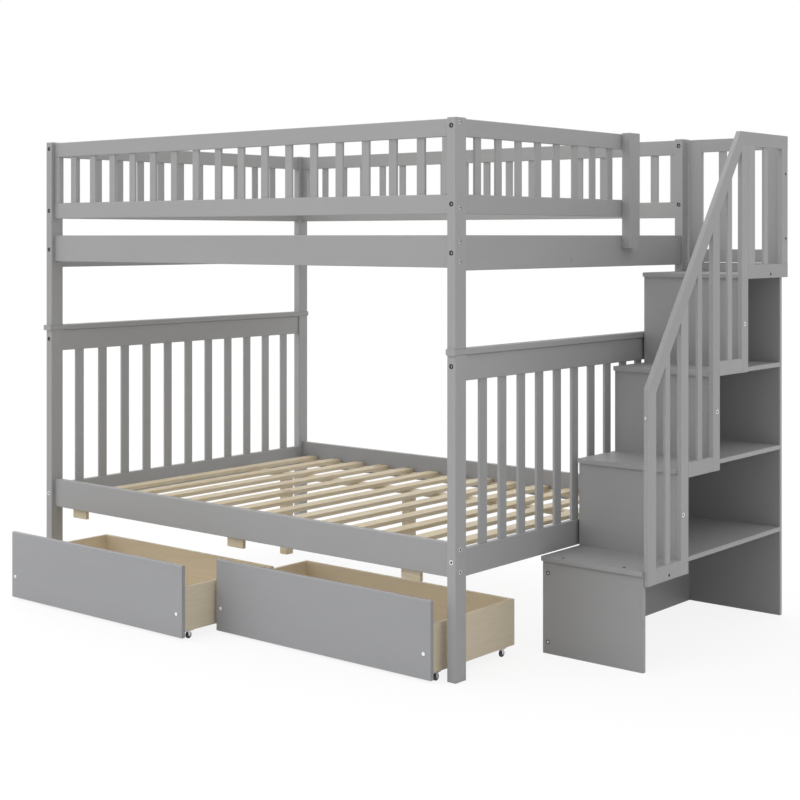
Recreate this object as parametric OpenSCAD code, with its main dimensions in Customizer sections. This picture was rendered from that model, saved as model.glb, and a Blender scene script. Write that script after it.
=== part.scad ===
// Full over full wooden bunk bed with a storage stair at its right end and two drawers on
// casters underneath. Millimetres, X along the bed to the stair, Y from front to back, Z up.
// The origin is the middle of the front left foot, on the floor. Ranges and levels are given
// from the bed's outer front left corner on the floor, and at() brings them to the origin.

/* [Bed frame] */
// Length of the bed over its posts
bed_l = 2004; // [1990:1:2200]
// Width of the bed over its posts
bed_w = 1439; // [1420:1:1560]
// Height of the bed
bed_h = 1723; // [1700:1:1850]
// Width of a post as seen from the front
post_w = 34; // [30:1:40]
// Depth of a post from front to back
post_d = 54; // [50:1:64]
// Thickness of every rail
rail_t = 20; // [18:1:24]
// Distance of the side rails behind the front of the posts
rail_setback = 14; // [8:1:20]
// Chamfer along the edges of posts and rails
ease = 2; // [0.5:0.5:3]

/* [End panels] */
// Height of the lower posts
lower_post_h = 996; // [960:1:1030]
// Thickness of the cap board between lower and upper posts
cap_t = 20; // [16:1:26]
// Overhang of the cap boards in front of and behind the posts
cap_nose = 6; // [2:1:12]
// Overhang of the left cap board past the left end
cap_side = 9; // [2:1:14]
// Height of the panel's top rail
panel_top_h = 80; // [60:1:100]
// Height of the panel's bottom rail
panel_bottom_h = 86; // [60:1:100]
// Width of a panel slat
panel_slat_w = 39; // [28:1:42]
// Thickness of panel slats and guard slats
thin_slat_t = 9; // [7:1:12]
// Number of slats in the left panel
left_slat_n = 11; // [9:1:12]
// Number of slats in the right panel
right_slat_n = 12; // [9:1:13]
// Space between the front post and the first slat of the left panel
left_slat_start = 73; // [50:1:90]
// Space between the last slat of the left panel and the rear post
left_slat_end = 68; // [50:1:90]
// Space between the front post and the first slat of the right panel
right_slat_start = 85; // [60:1:100]
// Space between the last slat of the right panel and the rear post
right_slat_end = 67; // [50:1:100]
// Length of the tenon at each end of a slat
tenon = 8; // [5:1:12]

/* [Rails and decks] */
// Level of the lower rails' bottom edge
lower_rail_z = 316; // [290:1:330]
// Height of the lower side rails
lower_rail_h = 106; // [90:1:120]
// Level of the upper side rails' bottom edge
upper_rail_z = 1263; // [1240:1:1290]
// Height of the upper side rails
upper_rail_h = 100; // [80:1:115]
// Drop of the upper end rails below the upper side rails
end_rail_drop = 9; // [0:1:20]
// Depth of the slats' top below the side rails' top edge
deck_drop = 59; // [50:1:65]
// Thickness of a deck slat
deck_slat_t = 14; // [12:1:20]
// Width of a deck slat
deck_slat_w = 54; // [45:1:70]
// Number of deck slats in each bunk
deck_slat_n = 14; // [11:1:16]
// Distance of the first deck slat from the left end
deck_start = 78; // [60:1:100]
// Distance of the last deck slat from the right end
deck_end = 49; // [40:1:80]
// Free end of a deck slat before the side rail
deck_slat_gap = 2; // [0.5:0.5:5]
// Height and depth of the ledgers that carry the deck slats
ledger_s = 20; // [16:1:24]

/* [Beams and blocks] */
// Height of the beams under the deck slats
beam_h = 19; // [15:1:24]
// Width of the beams
beam_w = 40; // [32:1:60]
// Distance of the lower beam's front edge from the front of the bed
lower_beam_y = 1031; // [900:1:1060]
// Distance of the upper beam's front edge from the front of the bed
upper_beam_y = 620; // [500:1:760]
// Side of a square beam leg
leg_s = 40; // [30:1:44]
// Number of beam legs
leg_n = 2; // [2:1:3]
// Distance of the first beam leg from the left end
leg_start = 256; // [150:1:300]
// Spacing of the beam legs
leg_pitch = 680; // [600:1:740]
// Distance of the left rail block from the left end of the bed
block_left = 122; // [80:1:300]
// Distance of the middle rail block to the right of the bed's middle
block_mid = 9; // [0:1:40]
// Distance of the right rail block from the right end of the bed
block_right = 166; // [80:1:300]
// Width of the blocks behind the lower front rail
block_w = 78; // [60:1:100]
// Thickness of these blocks
block_t = 14; // [10:1:18]
// How far these blocks hang below the rail
block_drop = 36; // [25:1:45]

/* [Guards] */
// Level of the guards' lower rails
guard_z = 1428; // [1410:1:1440]
// Height of the guards' lower rails
guard_low_h = 60; // [45:1:70]
// Height of the guards' top rails
guard_top_h = 55; // [45:1:65]
// Drop of the guards' top edge below the posts
guard_drop = 3; // [1:1:8]
// Width of a guard slat
guard_slat_w = 32; // [24:1:36]
// Number of slats in the front and rear guards
long_slat_n = 16; // [12:1:17]
// Space between the left post and the first slat of the front guard
front_slat_start = 92; // [80:1:120]
// Space between the last slat of the front guard and the right post
front_slat_end = 103; // [80:1:120]
// Space between the left post and the first slat of the rear guard
rear_slat_start = 118; // [80:1:130]
// Space between the last slat of the rear guard and the right post
rear_slat_end = 86; // [80:1:130]
// Width of the stiles beside the posts
stile_w = 30; // [24:1:40]
// Number of slats in the left guard
left_guard_n = 12; // [9:1:12]
// Number of slats in the short right guard
right_guard_n = 8; // [6:1:9]
// Space between the front post and the first slat of the end guards
end_slat_start = 61; // [35:1:70]
// Space between the last slat of the left guard and the rear post
left_guard_end = 32; // [25:1:60]
// Space between the last slat of the right guard and the entry stile
right_slat_gap = 51; // [40:1:80]
// Width of the stile beside the entry opening
entry_stile_w = 68; // [56:1:80]
// Thickness of the entry stile, which stands outside the end rail and the right guard
entry_stile_t = 34; // [28:1:38]
// Distance of the entry stile's front edge from the back of the bed
entry_stile_back = 473; // [455:1:490]
// Overlap of the entry stile on the upper end rail
entry_stile_lap = 46; // [38:1:60]

/* [Stair boards] */
// Outer width of the stair from the bed to the handrail
stair_w = 380; // [340:1:460]
// Thickness of the stair's upright boards
board_t = 16; // [12:1:20]
// Thickness of the treads
tread_t = 15; // [12:1:22]
// Distance of the treads' and risers' left ends from the bed
board_inset = 4; // [2:1:8]
// Level of the first tread's top
tread_1_z = 317; // [305:1:330]
// Level of the second tread's top
tread_2_z = 611; // [600:1:625]
// Level of the third tread's top
tread_3_z = 907; // [895:1:920]
// Level of the landing
tread_4_z = 1230; // [1215:1:1240]
// Distance of the first riser's face from the back of the bed
riser_1_back = 979; // [974:1:999]
// Distance of the second riser's face from the back of the bed
riser_2_back = 763; // [749:1:775]
// Distance of the third riser's face from the back of the bed
riser_3_back = 536; // [524:1:549]
// Distance of the fourth riser's face from the back of the bed
riser_4_back = 339; // [324:1:354]
// Overhang of the treads in front of the risers
nosing = 10; // [5:1:20]
// Distance of the stair's rear panel from the back of the bed
stair_rear_back = 30; // [16:1:44]

/* [Handrail] */
// Thickness of the handrail's pieces
hand_t = 16; // [14:1:22]
// Width of a handrail post
hand_post_w = 47; // [40:1:55]
// Distance of the first handrail post behind the first riser's face
hand_post_1 = 6; // [0:1:12]
// Distance of the second handrail post in front of the second riser's face
hand_post_2 = 5; // [0:1:10]
// Distance of the third handrail post in front of the third riser's face
hand_post_3 = 20; // [10:1:24]
// Distance of the fourth handrail post in front of the fourth riser's face
hand_post_4 = 13; // [5:1:20]
// Depth of the lowest foot rail's bottom edge below its tread
foot_rail_1 = 47; // [40:1:60]
// Depth of the second foot rail's bottom edge below its tread
foot_rail_2 = 32; // [25:1:40]
// Depth of the third foot rail's bottom edge below its tread
foot_rail_3 = 14; // [12:1:25]
// Depth of the landing's foot rail below the landing
foot_rail_4 = 17; // [12:1:25]
// Height of a foot rail
foot_rail_h = 48; // [40:1:55]
// Level at which the handrail starts to climb
climb_z = 884; // [860:1:920]
// Angle of the climbing rail over the floor
climb_angle = 53.8; // [52:0.1:56]
// Width of the climbing rail and of the top rail
hand_rail_w = 47; // [40:1:52]
// Width of a slat of the handrail and of the rear landing guard
hand_slat_w = 30; // [24:1:36]
// Drop of the handrail's top below the top of the bed
hand_drop = 4; // [0:1:10]
// Width of the stile beside the landing
landing_stile_w = 51; // [40:1:60]
// Distance from the landing stile to its slat
landing_slat_gap = 75; // [60:1:100]
// Width of the rear landing guard's stiles
rear_stile_w = 52; // [40:1:60]
// Distance of the rear landing guard in front of the rear panel's back
rear_guard_set = 11; // [4:1:16]
// Distance of the rear landing guard from the bed
rear_guard_inset = 12; // [6:1:20]
// Height of the kick board between that guard's stiles, on the landing
kick_h = 29; // [20:1:34]
// Space between the kick board and that guard's lower rail
kick_gap = 5; // [3:1:10]

/* [Drawers] */
// Space between a post and a drawer front
drawer_side_gap = 24; // [15:1:30]
// Space between the two drawer fronts
drawer_mid_gap = 10; // [5:1:20]
// Level of the drawer fronts' bottom edge
drawer_front_z = 8; // [5:1:15]
// Height of a drawer front
drawer_front_h = 244; // [220:1:250]
// Thickness of a drawer front
drawer_front_t = 15; // [12:1:18]
// Depth of a drawer with its front
drawer_depth = 445; // [400:1:520]
// Level of the drawer boxes' bottom edge
box_z = 27; // [27:1:32]
// Height of a drawer box
box_h = 150; // [120:1:170]
// Thickness of a drawer box's walls
box_t = 12; // [10:1:15]
// Distance of the box from the ends of the front
box_inset = 5; // [3:1:12]
// Thickness of a drawer's bottom panel
bottom_t = 6; // [4:1:8]
// Distance of the bottom panel above the box's bottom edge
bottom_set = 8; // [5:1:15]
// Depth of the groove that holds the bottom panel
groove = 5; // [3:1:7]
// How far the left drawer stands open
left_open = 214; // [100:1:250]
// How far the right drawer stands open
right_open = 64; // [20:1:250]

/* [Casters] */
// Diameter of a caster wheel
wheel_d = 24; // [20:0.5:24]
// Width of a caster wheel
wheel_w = 7; // [5:0.5:7]
// Diameter of a caster's axle
axle_d = 4; // [3:0.5:5]
// Radial clearance of the wheel on its axle
axle_play = 0.05; // [0.02:0.01:0.1]
// Length of a caster's plate
plate_l = 36; // [30:1:50]
// Thickness of a caster's plate
plate_t = 2; // [1.5:0.1:2.5]
// Thickness of a caster's cheek
cheek_t = 1.6; // [1.2:0.1:2]
// Clearance beside a caster wheel
wheel_play = 0.7; // [0.4:0.1:0.8]
// Radial clearance of an axle in the cheeks
axle_seat = 0.05; // [0.02:0.01:0.1]
// Width of the rim round an axle in a cheek
eye_rim = 2; // [2:0.5:4]
// How far a cheek's foot ends before the end of its plate
cheek_foot = 12; // [8:1:14]
// Distance of the front casters behind the drawer front's face
caster_front = 40; // [35:1:80]
// Distance of the rear casters from the drawer's back
caster_back = 63; // [40:1:90]

/* [Bolts] */
// Diameter of a bolt's shank
bolt_d = 6; // [5:0.5:8]
// Clearance round a shank
bolt_play = 0.3; // [0.2:0.1:0.6]
// Diameter of a bolt's head
head_d = 13; // [11:0.5:14]
// Height of a bolt's head
head_h = 4; // [3:0.5:5]
// Depth of the counterbore that a head sits in
counterbore = 5; // [4:0.5:7]
// Diameter of the counterbore
counterbore_d = 15; // [14.5:0.5:17]
// Diameter of an insert nut, which sits in the end of a rail
nut_d = 10; // [9:0.5:12]
// Length of an insert nut
nut_l = 16; // [10:1:18]
// Free depth behind an insert nut
nut_room = 5; // [3:1:8]
// Hex socket across its flats
socket = 6; // [4:0.5:7]
// Depth of the hex socket as a share of the head's height
socket_share = 0.6; // [0.4:0.1:0.8]
// Distance of the side rails' bolts from their edges
bolt_edge = 19; // [16:1:26]
// Rise of the end panels' bolts above the middle of their rails
bolt_rise = 7; // [0:1:12]
// Rise of the end guards' upper bolts above the middle of their top rails
guard_bolt_rise = 5; // [0:1:8]
// Vertical distance of two bolts that cross in a post
bolt_cross = 11; // [9:1:14]
// Length of the plain bolts in the handrail's posts, the beams' ends and the entry stile
plain_bolt_l = 50; // [42:1:52]
// Distance of the entry stile's lowest bolt below the top of the end rail
entry_bolt_drop = 30; // [22:1:36]
// Distance of that bolt from the stile's rear edge
entry_bolt_edge = 18; // [14:1:26]
// Rise of the spare lower bolt in the entry post above the guards' lower bolts
entry_post_bolt_rise = 20; // [15:1:28]
// Level of the bolt in the second handrail post
stair_bolt_1 = 463; // [400:1:530]
// Level of the bolt in the third handrail post
stair_bolt_2 = 775; // [690:1:840]
// Level of the bolt in the fourth handrail post
stair_bolt_3 = 1059; // [980:1:1150]
// Diameter of the pins between lower and upper posts
pin_d = 10; // [8:1:12]
// Length of these pins in each post
pin_l = 24; // [16:1:25]

/* [Hidden] */
$fn = 48;
paint = [0.64, 0.64, 0.65];
drawer_paint = [0.62, 0.63, 0.66];
pine = [0.90, 0.86, 0.74];
plywood = [0.85, 0.74, 0.58];
steel = [0.72, 0.72, 0.74];
black = [0.10, 0.10, 0.11];
far = 1;

post_x = [0, post_w];
post_y = [0, post_d];
upper_post_z = lower_post_h + cap_t;
rail_y = [rail_setback, rail_setback + rail_t];
rail_mid_y = rail_setback + rail_t / 2;
inner_x = [post_w, bed_l - post_w];
inner_y = [post_d, bed_w - post_d];
end_x = [(post_w - rail_t) / 2, (post_w + rail_t) / 2];
lower_rail_top = lower_rail_z + lower_rail_h;
upper_rail_top = upper_rail_z + upper_rail_h;
panel_foot_top = lower_rail_z + panel_bottom_h;
panel_head_z = lower_post_h - panel_top_h;
lower_deck_z = lower_rail_top - deck_drop;
upper_deck_z = upper_rail_top - deck_drop;
guard_low_top = guard_z + guard_low_h;
guard_top = bed_h - guard_drop;
guard_top_z = guard_top - guard_top_h;
entry_stile_y = bed_w - entry_stile_back;
entry_end = entry_stile_y + entry_stile_w;
entry_face = bed_l - end_x[0];

stair_x = bed_l;
stair_out = bed_l + stair_w;
board_x = [stair_x + board_inset, stair_out];
shelf_x = [stair_x + board_t, stair_out];
tread_z = [tread_1_z, tread_2_z, tread_3_z, tread_4_z];
riser_y = [bed_w - riser_1_back, bed_w - riser_2_back, bed_w - riser_3_back, bed_w - riser_4_back];
last = len(tread_z) - 1;
landing_z = tread_z[last];
stair_rear_y = bed_w - stair_rear_back;
stair_rear_end = stair_rear_y + board_t;
hand_x = [stair_out, stair_out + hand_t];
hand_top = bed_h - hand_drop;
hand_top_z = hand_top - hand_rail_w;
hand_post_y = [riser_y[0] + hand_post_1, riser_y[1] - hand_post_2, riser_y[2] - hand_post_3,
    riser_y[3] - hand_post_4];
foot_rail_z = [tread_1_z - foot_rail_1, tread_2_z - foot_rail_2, tread_3_z - foot_rail_3,
    tread_4_z - foot_rail_4];
landing_rail_top = foot_rail_z[last] + foot_rail_h;
climb_slope = tan(climb_angle);
climb_drop = hand_rail_w / cos(climb_angle);
climb_end_y = hand_post_y[0] + (hand_top - climb_z) / climb_slope;
climb_end_low_y = hand_post_y[0] + (hand_top_z - climb_z + climb_drop) / climb_slope;
climb_inner_z = climb_z + climb_slope * hand_post_w - climb_drop;
landing_stile_y = hand_post_y[last] + hand_post_w;
landing_slat_y = landing_stile_y + landing_stile_w + landing_slat_gap;
landing_rear_y = bed_w - hand_post_w;
rear_guard_y = [stair_rear_end - rear_guard_set, stair_rear_end - rear_guard_set + board_t];
landing_y = [riser_y[last] - nosing, rear_guard_y[1]];
rear_guard_x = [stair_x + rear_guard_inset, stair_out];

drawer_w = (bed_l - 2 * (post_w + drawer_side_gap) - drawer_mid_gap) / 2;
left_drawer_x = post_w + drawer_side_gap;
right_drawer_x = left_drawer_x + drawer_w + drawer_mid_gap;
left_drawer_y = rail_setback - left_open;
right_drawer_y = rail_setback - right_open;
bottom_z = box_z + bottom_set;
cheek_gap = wheel_w + 2 * wheel_play;
plate_w = cheek_gap + 2 * cheek_t;
axle_z = wheel_d / 2;

// Levels of the bolts through the post fronts into the end members
end_bolt_z = [(lower_rail_z + panel_foot_top) / 2 + bolt_rise, (panel_head_z + lower_post_h) / 2 + bolt_rise,
    (upper_rail_z - end_rail_drop + upper_rail_top) / 2];
end_guard_bolt_z = [(guard_z + guard_low_top) / 2, (guard_top_z + guard_top) / 2 + guard_bolt_rise];
// Levels of the bolts through the post ends into the side members
side_bolt_z = [lower_rail_z + bolt_edge, lower_rail_top - bolt_edge,
    upper_rail_z + bolt_edge, upper_rail_top - bolt_edge,
    end_guard_bolt_z[0] - bolt_cross, end_guard_bolt_z[1] + bolt_cross];

stair_bolt_z = [stair_bolt_1, stair_bolt_2, stair_bolt_3];

// A range on the front side seen on the rear side, and one on the left end seen on the right
function rear(y) = [bed_w - y[1], bed_w - y[0]];
function right(x) = [bed_l - x[1], bed_l - x[0]];
// Starts of n equal slats of width w in the range r, with the given spaces at both ends
function starts(r, n, w, first, final) =
    [for (i = [0 : n - 1]) r[0] + first + i * (r[1] - r[0] - first - final - w) / (n - 1)];

// Brings a place given from the bed's outer front left corner into the part's frame
module at(x, y, z) {
    translate([x - post_w / 2, y - post_d / 2, z]) children();
}

// Cross-section of a board with its four corners chamfered
module section(w, h, e) {
    polygon([[e, 0], [w - e, 0], [w, e], [w, h - e], [w - e, h], [e, h], [0, h - e], [0, e]]);
}

// Boards that run along X, Y and Z and fill the given ranges
module along_x(x, y, z, e = ease) {
    at(x[0], y[0], z[0])
        rotate([90, 0, 90])
            linear_extrude(x[1] - x[0]) section(y[1] - y[0], z[1] - z[0], e);
}
module along_y(x, y, z, e = ease) {
    at(x[0], y[1], z[0])
        rotate([90, 0, 0])
            linear_extrude(y[1] - y[0]) section(x[1] - x[0], z[1] - z[0], e);
}
module along_z(x, y, z, e = ease) {
    at(x[0], y[0], z[0])
        linear_extrude(z[1] - z[0]) section(x[1] - x[0], y[1] - y[0], e);
}

// Repeats what is made for the front left corner at the corner given by two switches
module corner(on_right, on_rear) {
    mid = [bed_l / 2 - post_w / 2, bed_w / 2 - post_d / 2, 0];
    translate(mid)
        mirror([on_right, 0, 0])
            mirror([0, on_rear, 0])
                translate(-mid) children();
}

// Places at a corner post where a bolt enters, its tip pointing along the child's +Z
module end_bolt_places(on_right, on_rear, levels) {
    for (z = levels)
        corner(on_right, on_rear)
            at(post_w / 2, 0, z) rotate([-90, 0, 0]) children();
}
module side_bolt_places(on_right, on_rear, levels) {
    for (z = levels)
        corner(on_right, on_rear)
            at(0, rail_mid_y, z) rotate([0, 90, 0]) children();
}

// Levels of the bolts into the end members at a corner: the entry corner has no guard
function end_levels(on_right, on_rear) =
    on_right * on_rear == 1 ? end_bolt_z : concat(end_bolt_z, end_guard_bolt_z);

// Hole for a bolt through a post: counterbore and way of the shank
module bolt_way(l) {
    translate([0, 0, -far]) cylinder(d = counterbore_d, h = counterbore + far);
    cylinder(d = bolt_d + 2 * bolt_play, h = l + far);
}
// Hole in the end of a rail: seat of the insert nut and room for the bolt's tip
module nut_way(post) {
    translate([0, 0, post - far]) {
        cylinder(d = nut_d, h = far + nut_l);
        cylinder(d = bolt_d + 2 * bolt_play, h = far + nut_l + nut_room);
    }
}

// Bolt of length l over its head, with its hex socket, seated in its counterbore
module hex_bolt(l) {
    translate([0, 0, counterbore - head_h])
        difference() {
            union() {
                cylinder(d = head_d, h = head_h);
                cylinder(d = bolt_d, h = l);
            }
            translate([0, 0, -far])
                cylinder(d = socket / cos(30), h = far + head_h * socket_share, $fn = 6);
        }
}

// Bolt of a corner joint and the insert nut that it pulls on
module bolt(post) {
    hex_bolt(post + nut_l);
    translate([0, 0, post])
        difference() {
            cylinder(d = nut_d, h = nut_l);
            translate([0, 0, -far]) cylinder(d = bolt_d + bolt_play, h = nut_l + 2 * far);
        }
}

// All bolt ways of one corner between two levels
module corner_ways(on_right, on_rear, low, high) {
    end_bolt_places(on_right, on_rear, [for (z = end_levels(on_right, on_rear)) if (z > low && z < high) z])
        bolt_way(post_d);
    side_bolt_places(on_right, on_rear, [for (z = side_bolt_z) if (z > low && z < high) z])
        bolt_way(post_w);
}

// Insert nuts' seats in both ends of a side rail, and in both ends of an end member
module side_ways(on_rear, low, high) {
    for (on_right = [0, 1])
        side_bolt_places(on_right, on_rear, [for (z = side_bolt_z) if (z > low && z < high) z])
            nut_way(post_w);
}
module end_ways(on_right, low, high) {
    for (on_rear = [0, 1])
        end_bolt_places(on_right, on_rear,
                        [for (z = end_levels(on_right, on_rear)) if (z > low && z < high) z])
            nut_way(post_d);
}

// Pin between a lower and an upper post, through the cap board
module pin_at(d) {
    at(post_w / 2, post_d / 2, lower_post_h - pin_l) cylinder(d = d, h = 2 * pin_l + cap_t);
}

// Posts
module lower_post(on_right, on_rear) {
    difference() {
        corner(on_right, on_rear) along_z(post_x, post_y, [0, lower_post_h]);
        corner_ways(on_right, on_rear, 0, lower_post_h);
        corner(on_right, on_rear) pin_at(pin_d);
    }
}
module upper_post(on_right, on_rear) {
    difference() {
        corner(on_right, on_rear)
            intersection() {
                along_z(post_x, post_y, [upper_post_z, bed_h]);
                along_x(post_x, post_y, [lower_post_h, bed_h]);
                along_y(post_x, post_y, [lower_post_h, bed_h]);
            }
        corner_ways(on_right, on_rear, upper_post_z, bed_h);
        entry_post_bolt_places() plain_bolt_way();
        corner(on_right, on_rear) pin_at(pin_d);
    }
}
module lower_left_posts() {
    color(paint) for (on_rear = [0, 1]) lower_post(0, on_rear);
}
module lower_right_posts() {
    color(paint) for (on_rear = [0, 1]) lower_post(1, on_rear);
}
module upper_left_posts() {
    color(paint) for (on_rear = [0, 1]) upper_post(0, on_rear);
}
module upper_right_posts() {
    color(paint) for (on_rear = [0, 1]) upper_post(1, on_rear);
}

// Cap boards: the left one overhangs outwards, the right one ends flush beside the stair
module panel_cap(x, on_right) {
    difference() {
        along_y(x, [-cap_nose, bed_w + cap_nose], [lower_post_h, upper_post_z]);
        for (on_rear = [0, 1]) corner(on_right, on_rear) pin_at(pin_d);
    }
}
module panel_caps() {
    color(paint) {
        panel_cap([-cap_side, post_w], 0);
        panel_cap(right(post_x), 1);
    }
}

// Slats stand in mortises of the rails above and below them
function slat_range(range, t) = [(range[0] + range[1] - t) / 2, (range[0] + range[1] + t) / 2];
module end_slats(x, y_starts, w, z, extra) {
    for (y = y_starts)
        along_z(slat_range(x, thin_slat_t), [y, y + w], [z[0] - tenon - extra, z[1] + tenon + extra], 1);
}
module side_slats(y, x_starts, w, z, extra) {
    for (x = x_starts)
        along_z([x, x + w], slat_range(y, thin_slat_t), [z[0] - tenon - extra, z[1] + tenon + extra], 1);
}
panel_slat_z = [panel_foot_top, panel_head_z];
guard_slat_z = [guard_low_top, guard_top_z];
left_starts = starts(inner_y, left_slat_n, panel_slat_w, left_slat_start, left_slat_end);
right_starts = starts(inner_y, right_slat_n, panel_slat_w, right_slat_start, right_slat_end);
module panel_rails(x, on_right, y_starts) {
    difference() {
        union() {
            along_y(x, inner_y, [lower_rail_z, panel_foot_top]);
            along_y(x, inner_y, [panel_head_z, lower_post_h]);
        }
        end_slats(x, y_starts, panel_slat_w, panel_slat_z, 1);
        end_ways(on_right, lower_rail_z, lower_post_h);
        beam_bolt_places(lower_beam_y, lower_deck_z) plain_bolt_way();
    }
}
module left_panel_rails() {
    color(paint) panel_rails(end_x, 0, left_starts);
}
module right_panel_rails() {
    color(paint) panel_rails(right(end_x), 1, right_starts);
}
module left_panel_slats() {
    color(paint) end_slats(end_x, left_starts, panel_slat_w, panel_slat_z, 0);
}
module right_panel_slats() {
    color(paint) end_slats(right(end_x), right_starts, panel_slat_w, panel_slat_z, 0);
}

// Side rails, end rails and the ledgers on the side rails' inner faces
module side_rail(on_rear, low, high) {
    difference() {
        corner(0, on_rear) along_x(inner_x, rail_y, [low, high]);
        side_ways(on_rear, low, high);
    }
}
module lower_front_rail() {
    color(paint) side_rail(0, lower_rail_z, lower_rail_top);
}
module lower_rear_rail() {
    color(paint) side_rail(1, lower_rail_z, lower_rail_top);
}
module upper_front_rail() {
    color(paint) side_rail(0, upper_rail_z, upper_rail_top);
}
module upper_rear_rail() {
    color(paint) side_rail(1, upper_rail_z, upper_rail_top);
}
module upper_end_rails() {
    color(paint)
        for (on_right = [0, 1])
            difference() {
                corner(on_right, 0) along_y(end_x, inner_y, [upper_rail_z - end_rail_drop, upper_rail_top]);
                end_ways(on_right, upper_rail_z, upper_rail_top);
                beam_bolt_places(upper_beam_y, upper_deck_z) plain_bolt_way();
                entry_bolt_places() plain_bolt_way();
            }
}
ledger_y = [rail_y[1], rail_y[1] + ledger_s];
module ledgers(deck_z) {
    color(pine)
        for (on_rear = [0, 1])
            corner(0, on_rear)
                along_x(inner_x, ledger_y, [deck_z - deck_slat_t - ledger_s, deck_z - deck_slat_t], 1);
}
module lower_ledgers() {
    ledgers(lower_deck_z);
}
module upper_ledgers() {
    ledgers(upper_deck_z);
}

// Decks of flat slats
deck_y = [rail_y[1] + deck_slat_gap, bed_w - rail_y[1] - deck_slat_gap];
module deck_slats(deck_z) {
    color(pine)
        for (x = starts([0, bed_l], deck_slat_n, deck_slat_w, deck_start, deck_end))
            along_y([x, x + deck_slat_w], deck_y, [deck_z - deck_slat_t, deck_z], 1);
}
module lower_deck_slats() {
    deck_slats(lower_deck_z);
}
module upper_deck_slats() {
    deck_slats(upper_deck_z);
}

// Beams along the bed under the slats, and the legs of the lower one
module deck_beam(y, deck_z) {
    color(pine)
        difference() {
            along_x([end_x[1], bed_l - end_x[1]], [y, y + beam_w],
                    [deck_z - deck_slat_t - beam_h, deck_z - deck_slat_t], 1);
            beam_bolt_places(y, deck_z) plain_bolt_way();
        }
}
// Bolts through the end members into both ends of a beam
module beam_bolt_places(y, deck_z) {
    for (on_right = [0, 1])
        corner(on_right, 0)
            at(end_x[0], y + beam_w / 2, deck_z - deck_slat_t - beam_h / 2)
                rotate([0, 90, 0]) children();
}
module support_beam() {
    deck_beam(lower_beam_y, lower_deck_z);
}
module upper_beam() {
    deck_beam(upper_beam_y, upper_deck_z);
}
module beam_legs() {
    leg_y = lower_beam_y + (beam_w - leg_s) / 2;
    color(pine)
        for (i = [0 : leg_n - 1])
            along_z([leg_start + i * leg_pitch, leg_start + i * leg_pitch + leg_s],
                    [leg_y, leg_y + leg_s], [0, lower_deck_z - deck_slat_t - beam_h], 1);
}

// Blocks behind the lower front rail, under the ledger: near both ends and in the middle
module rail_blocks() {
    block_top = lower_deck_z - deck_slat_t - ledger_s;
    color(pine)
        for (x = [block_left, (bed_l - block_w) / 2 + block_mid, bed_l - block_right - block_w])
            along_z([x, x + block_w], [rail_y[1], rail_y[1] + block_t],
                    [lower_rail_z - block_drop, block_top], 1);
}

// Guards on the long sides
front_starts = starts(inner_x, long_slat_n, guard_slat_w, front_slat_start, front_slat_end);
rear_starts = starts(inner_x, long_slat_n, guard_slat_w, rear_slat_start, rear_slat_end);
module side_guard_rails(y, x_starts, on_rear) {
    color(paint)
        difference() {
            union() {
                along_x(inner_x, y, [guard_z, guard_low_top]);
                along_x(inner_x, y, [guard_top_z, guard_top]);
            }
            side_slats(y, x_starts, guard_slat_w, guard_slat_z, 1);
            side_ways(on_rear, guard_z, guard_top);
        }
}
// The slats of a long guard, and the stiles beside its posts
module side_guard_slats(y, x_starts) {
    color(paint) {
        side_slats(y, x_starts, guard_slat_w, guard_slat_z, 0);
        for (x = [inner_x[0], inner_x[1] - stile_w])
            along_z([x, x + stile_w], y, guard_slat_z, 1);
    }
}
module front_guard_rails() {
    side_guard_rails(rail_y, front_starts, 0);
}
module rear_guard_rails() {
    side_guard_rails(rear(rail_y), rear_starts, 1);
}
module front_guard_slats() {
    side_guard_slats(rail_y, front_starts);
}
module rear_guard_slats() {
    side_guard_slats(rear(rail_y), rear_starts);
}

// Guards on the ends: the right one stops at the entry stile
left_guard_starts = starts(inner_y, left_guard_n, guard_slat_w, end_slat_start, left_guard_end);
right_guard_y = [inner_y[0], entry_end - ease];
right_guard_starts = starts([inner_y[0], entry_stile_y], right_guard_n, guard_slat_w,
                            end_slat_start, right_slat_gap);
module end_guard_rails(x, y, y_starts, on_right) {
    color(paint)
        difference() {
            union() {
                along_y(x, y, [guard_z, guard_low_top]);
                along_y(x, y, [guard_top_z, guard_top]);
            }
            end_slats(x, y_starts, guard_slat_w, guard_slat_z, 1);
            end_ways(on_right, guard_z, guard_top);
            entry_bolt_places() plain_bolt_way();
        }
}
module left_guard_rails() {
    end_guard_rails(end_x, inner_y, left_guard_starts, 0);
}
module right_guard_rails() {
    end_guard_rails(right(end_x), right_guard_y, right_guard_starts, 1);
}
module left_guard_slats() {
    color(paint) end_slats(end_x, left_guard_starts, guard_slat_w, guard_slat_z, 0);
}
module right_guard_slats() {
    color(paint) end_slats(right(end_x), right_guard_starts, guard_slat_w, guard_slat_z, 0);
}
module entry_stile() {
    color(paint)
        difference() {
            along_z([entry_face, entry_face + entry_stile_t], [entry_stile_y, entry_end],
                    [upper_rail_top - entry_stile_lap, bed_h]);
            entry_bolt_places() plain_bolt_way();
        }
}

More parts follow.
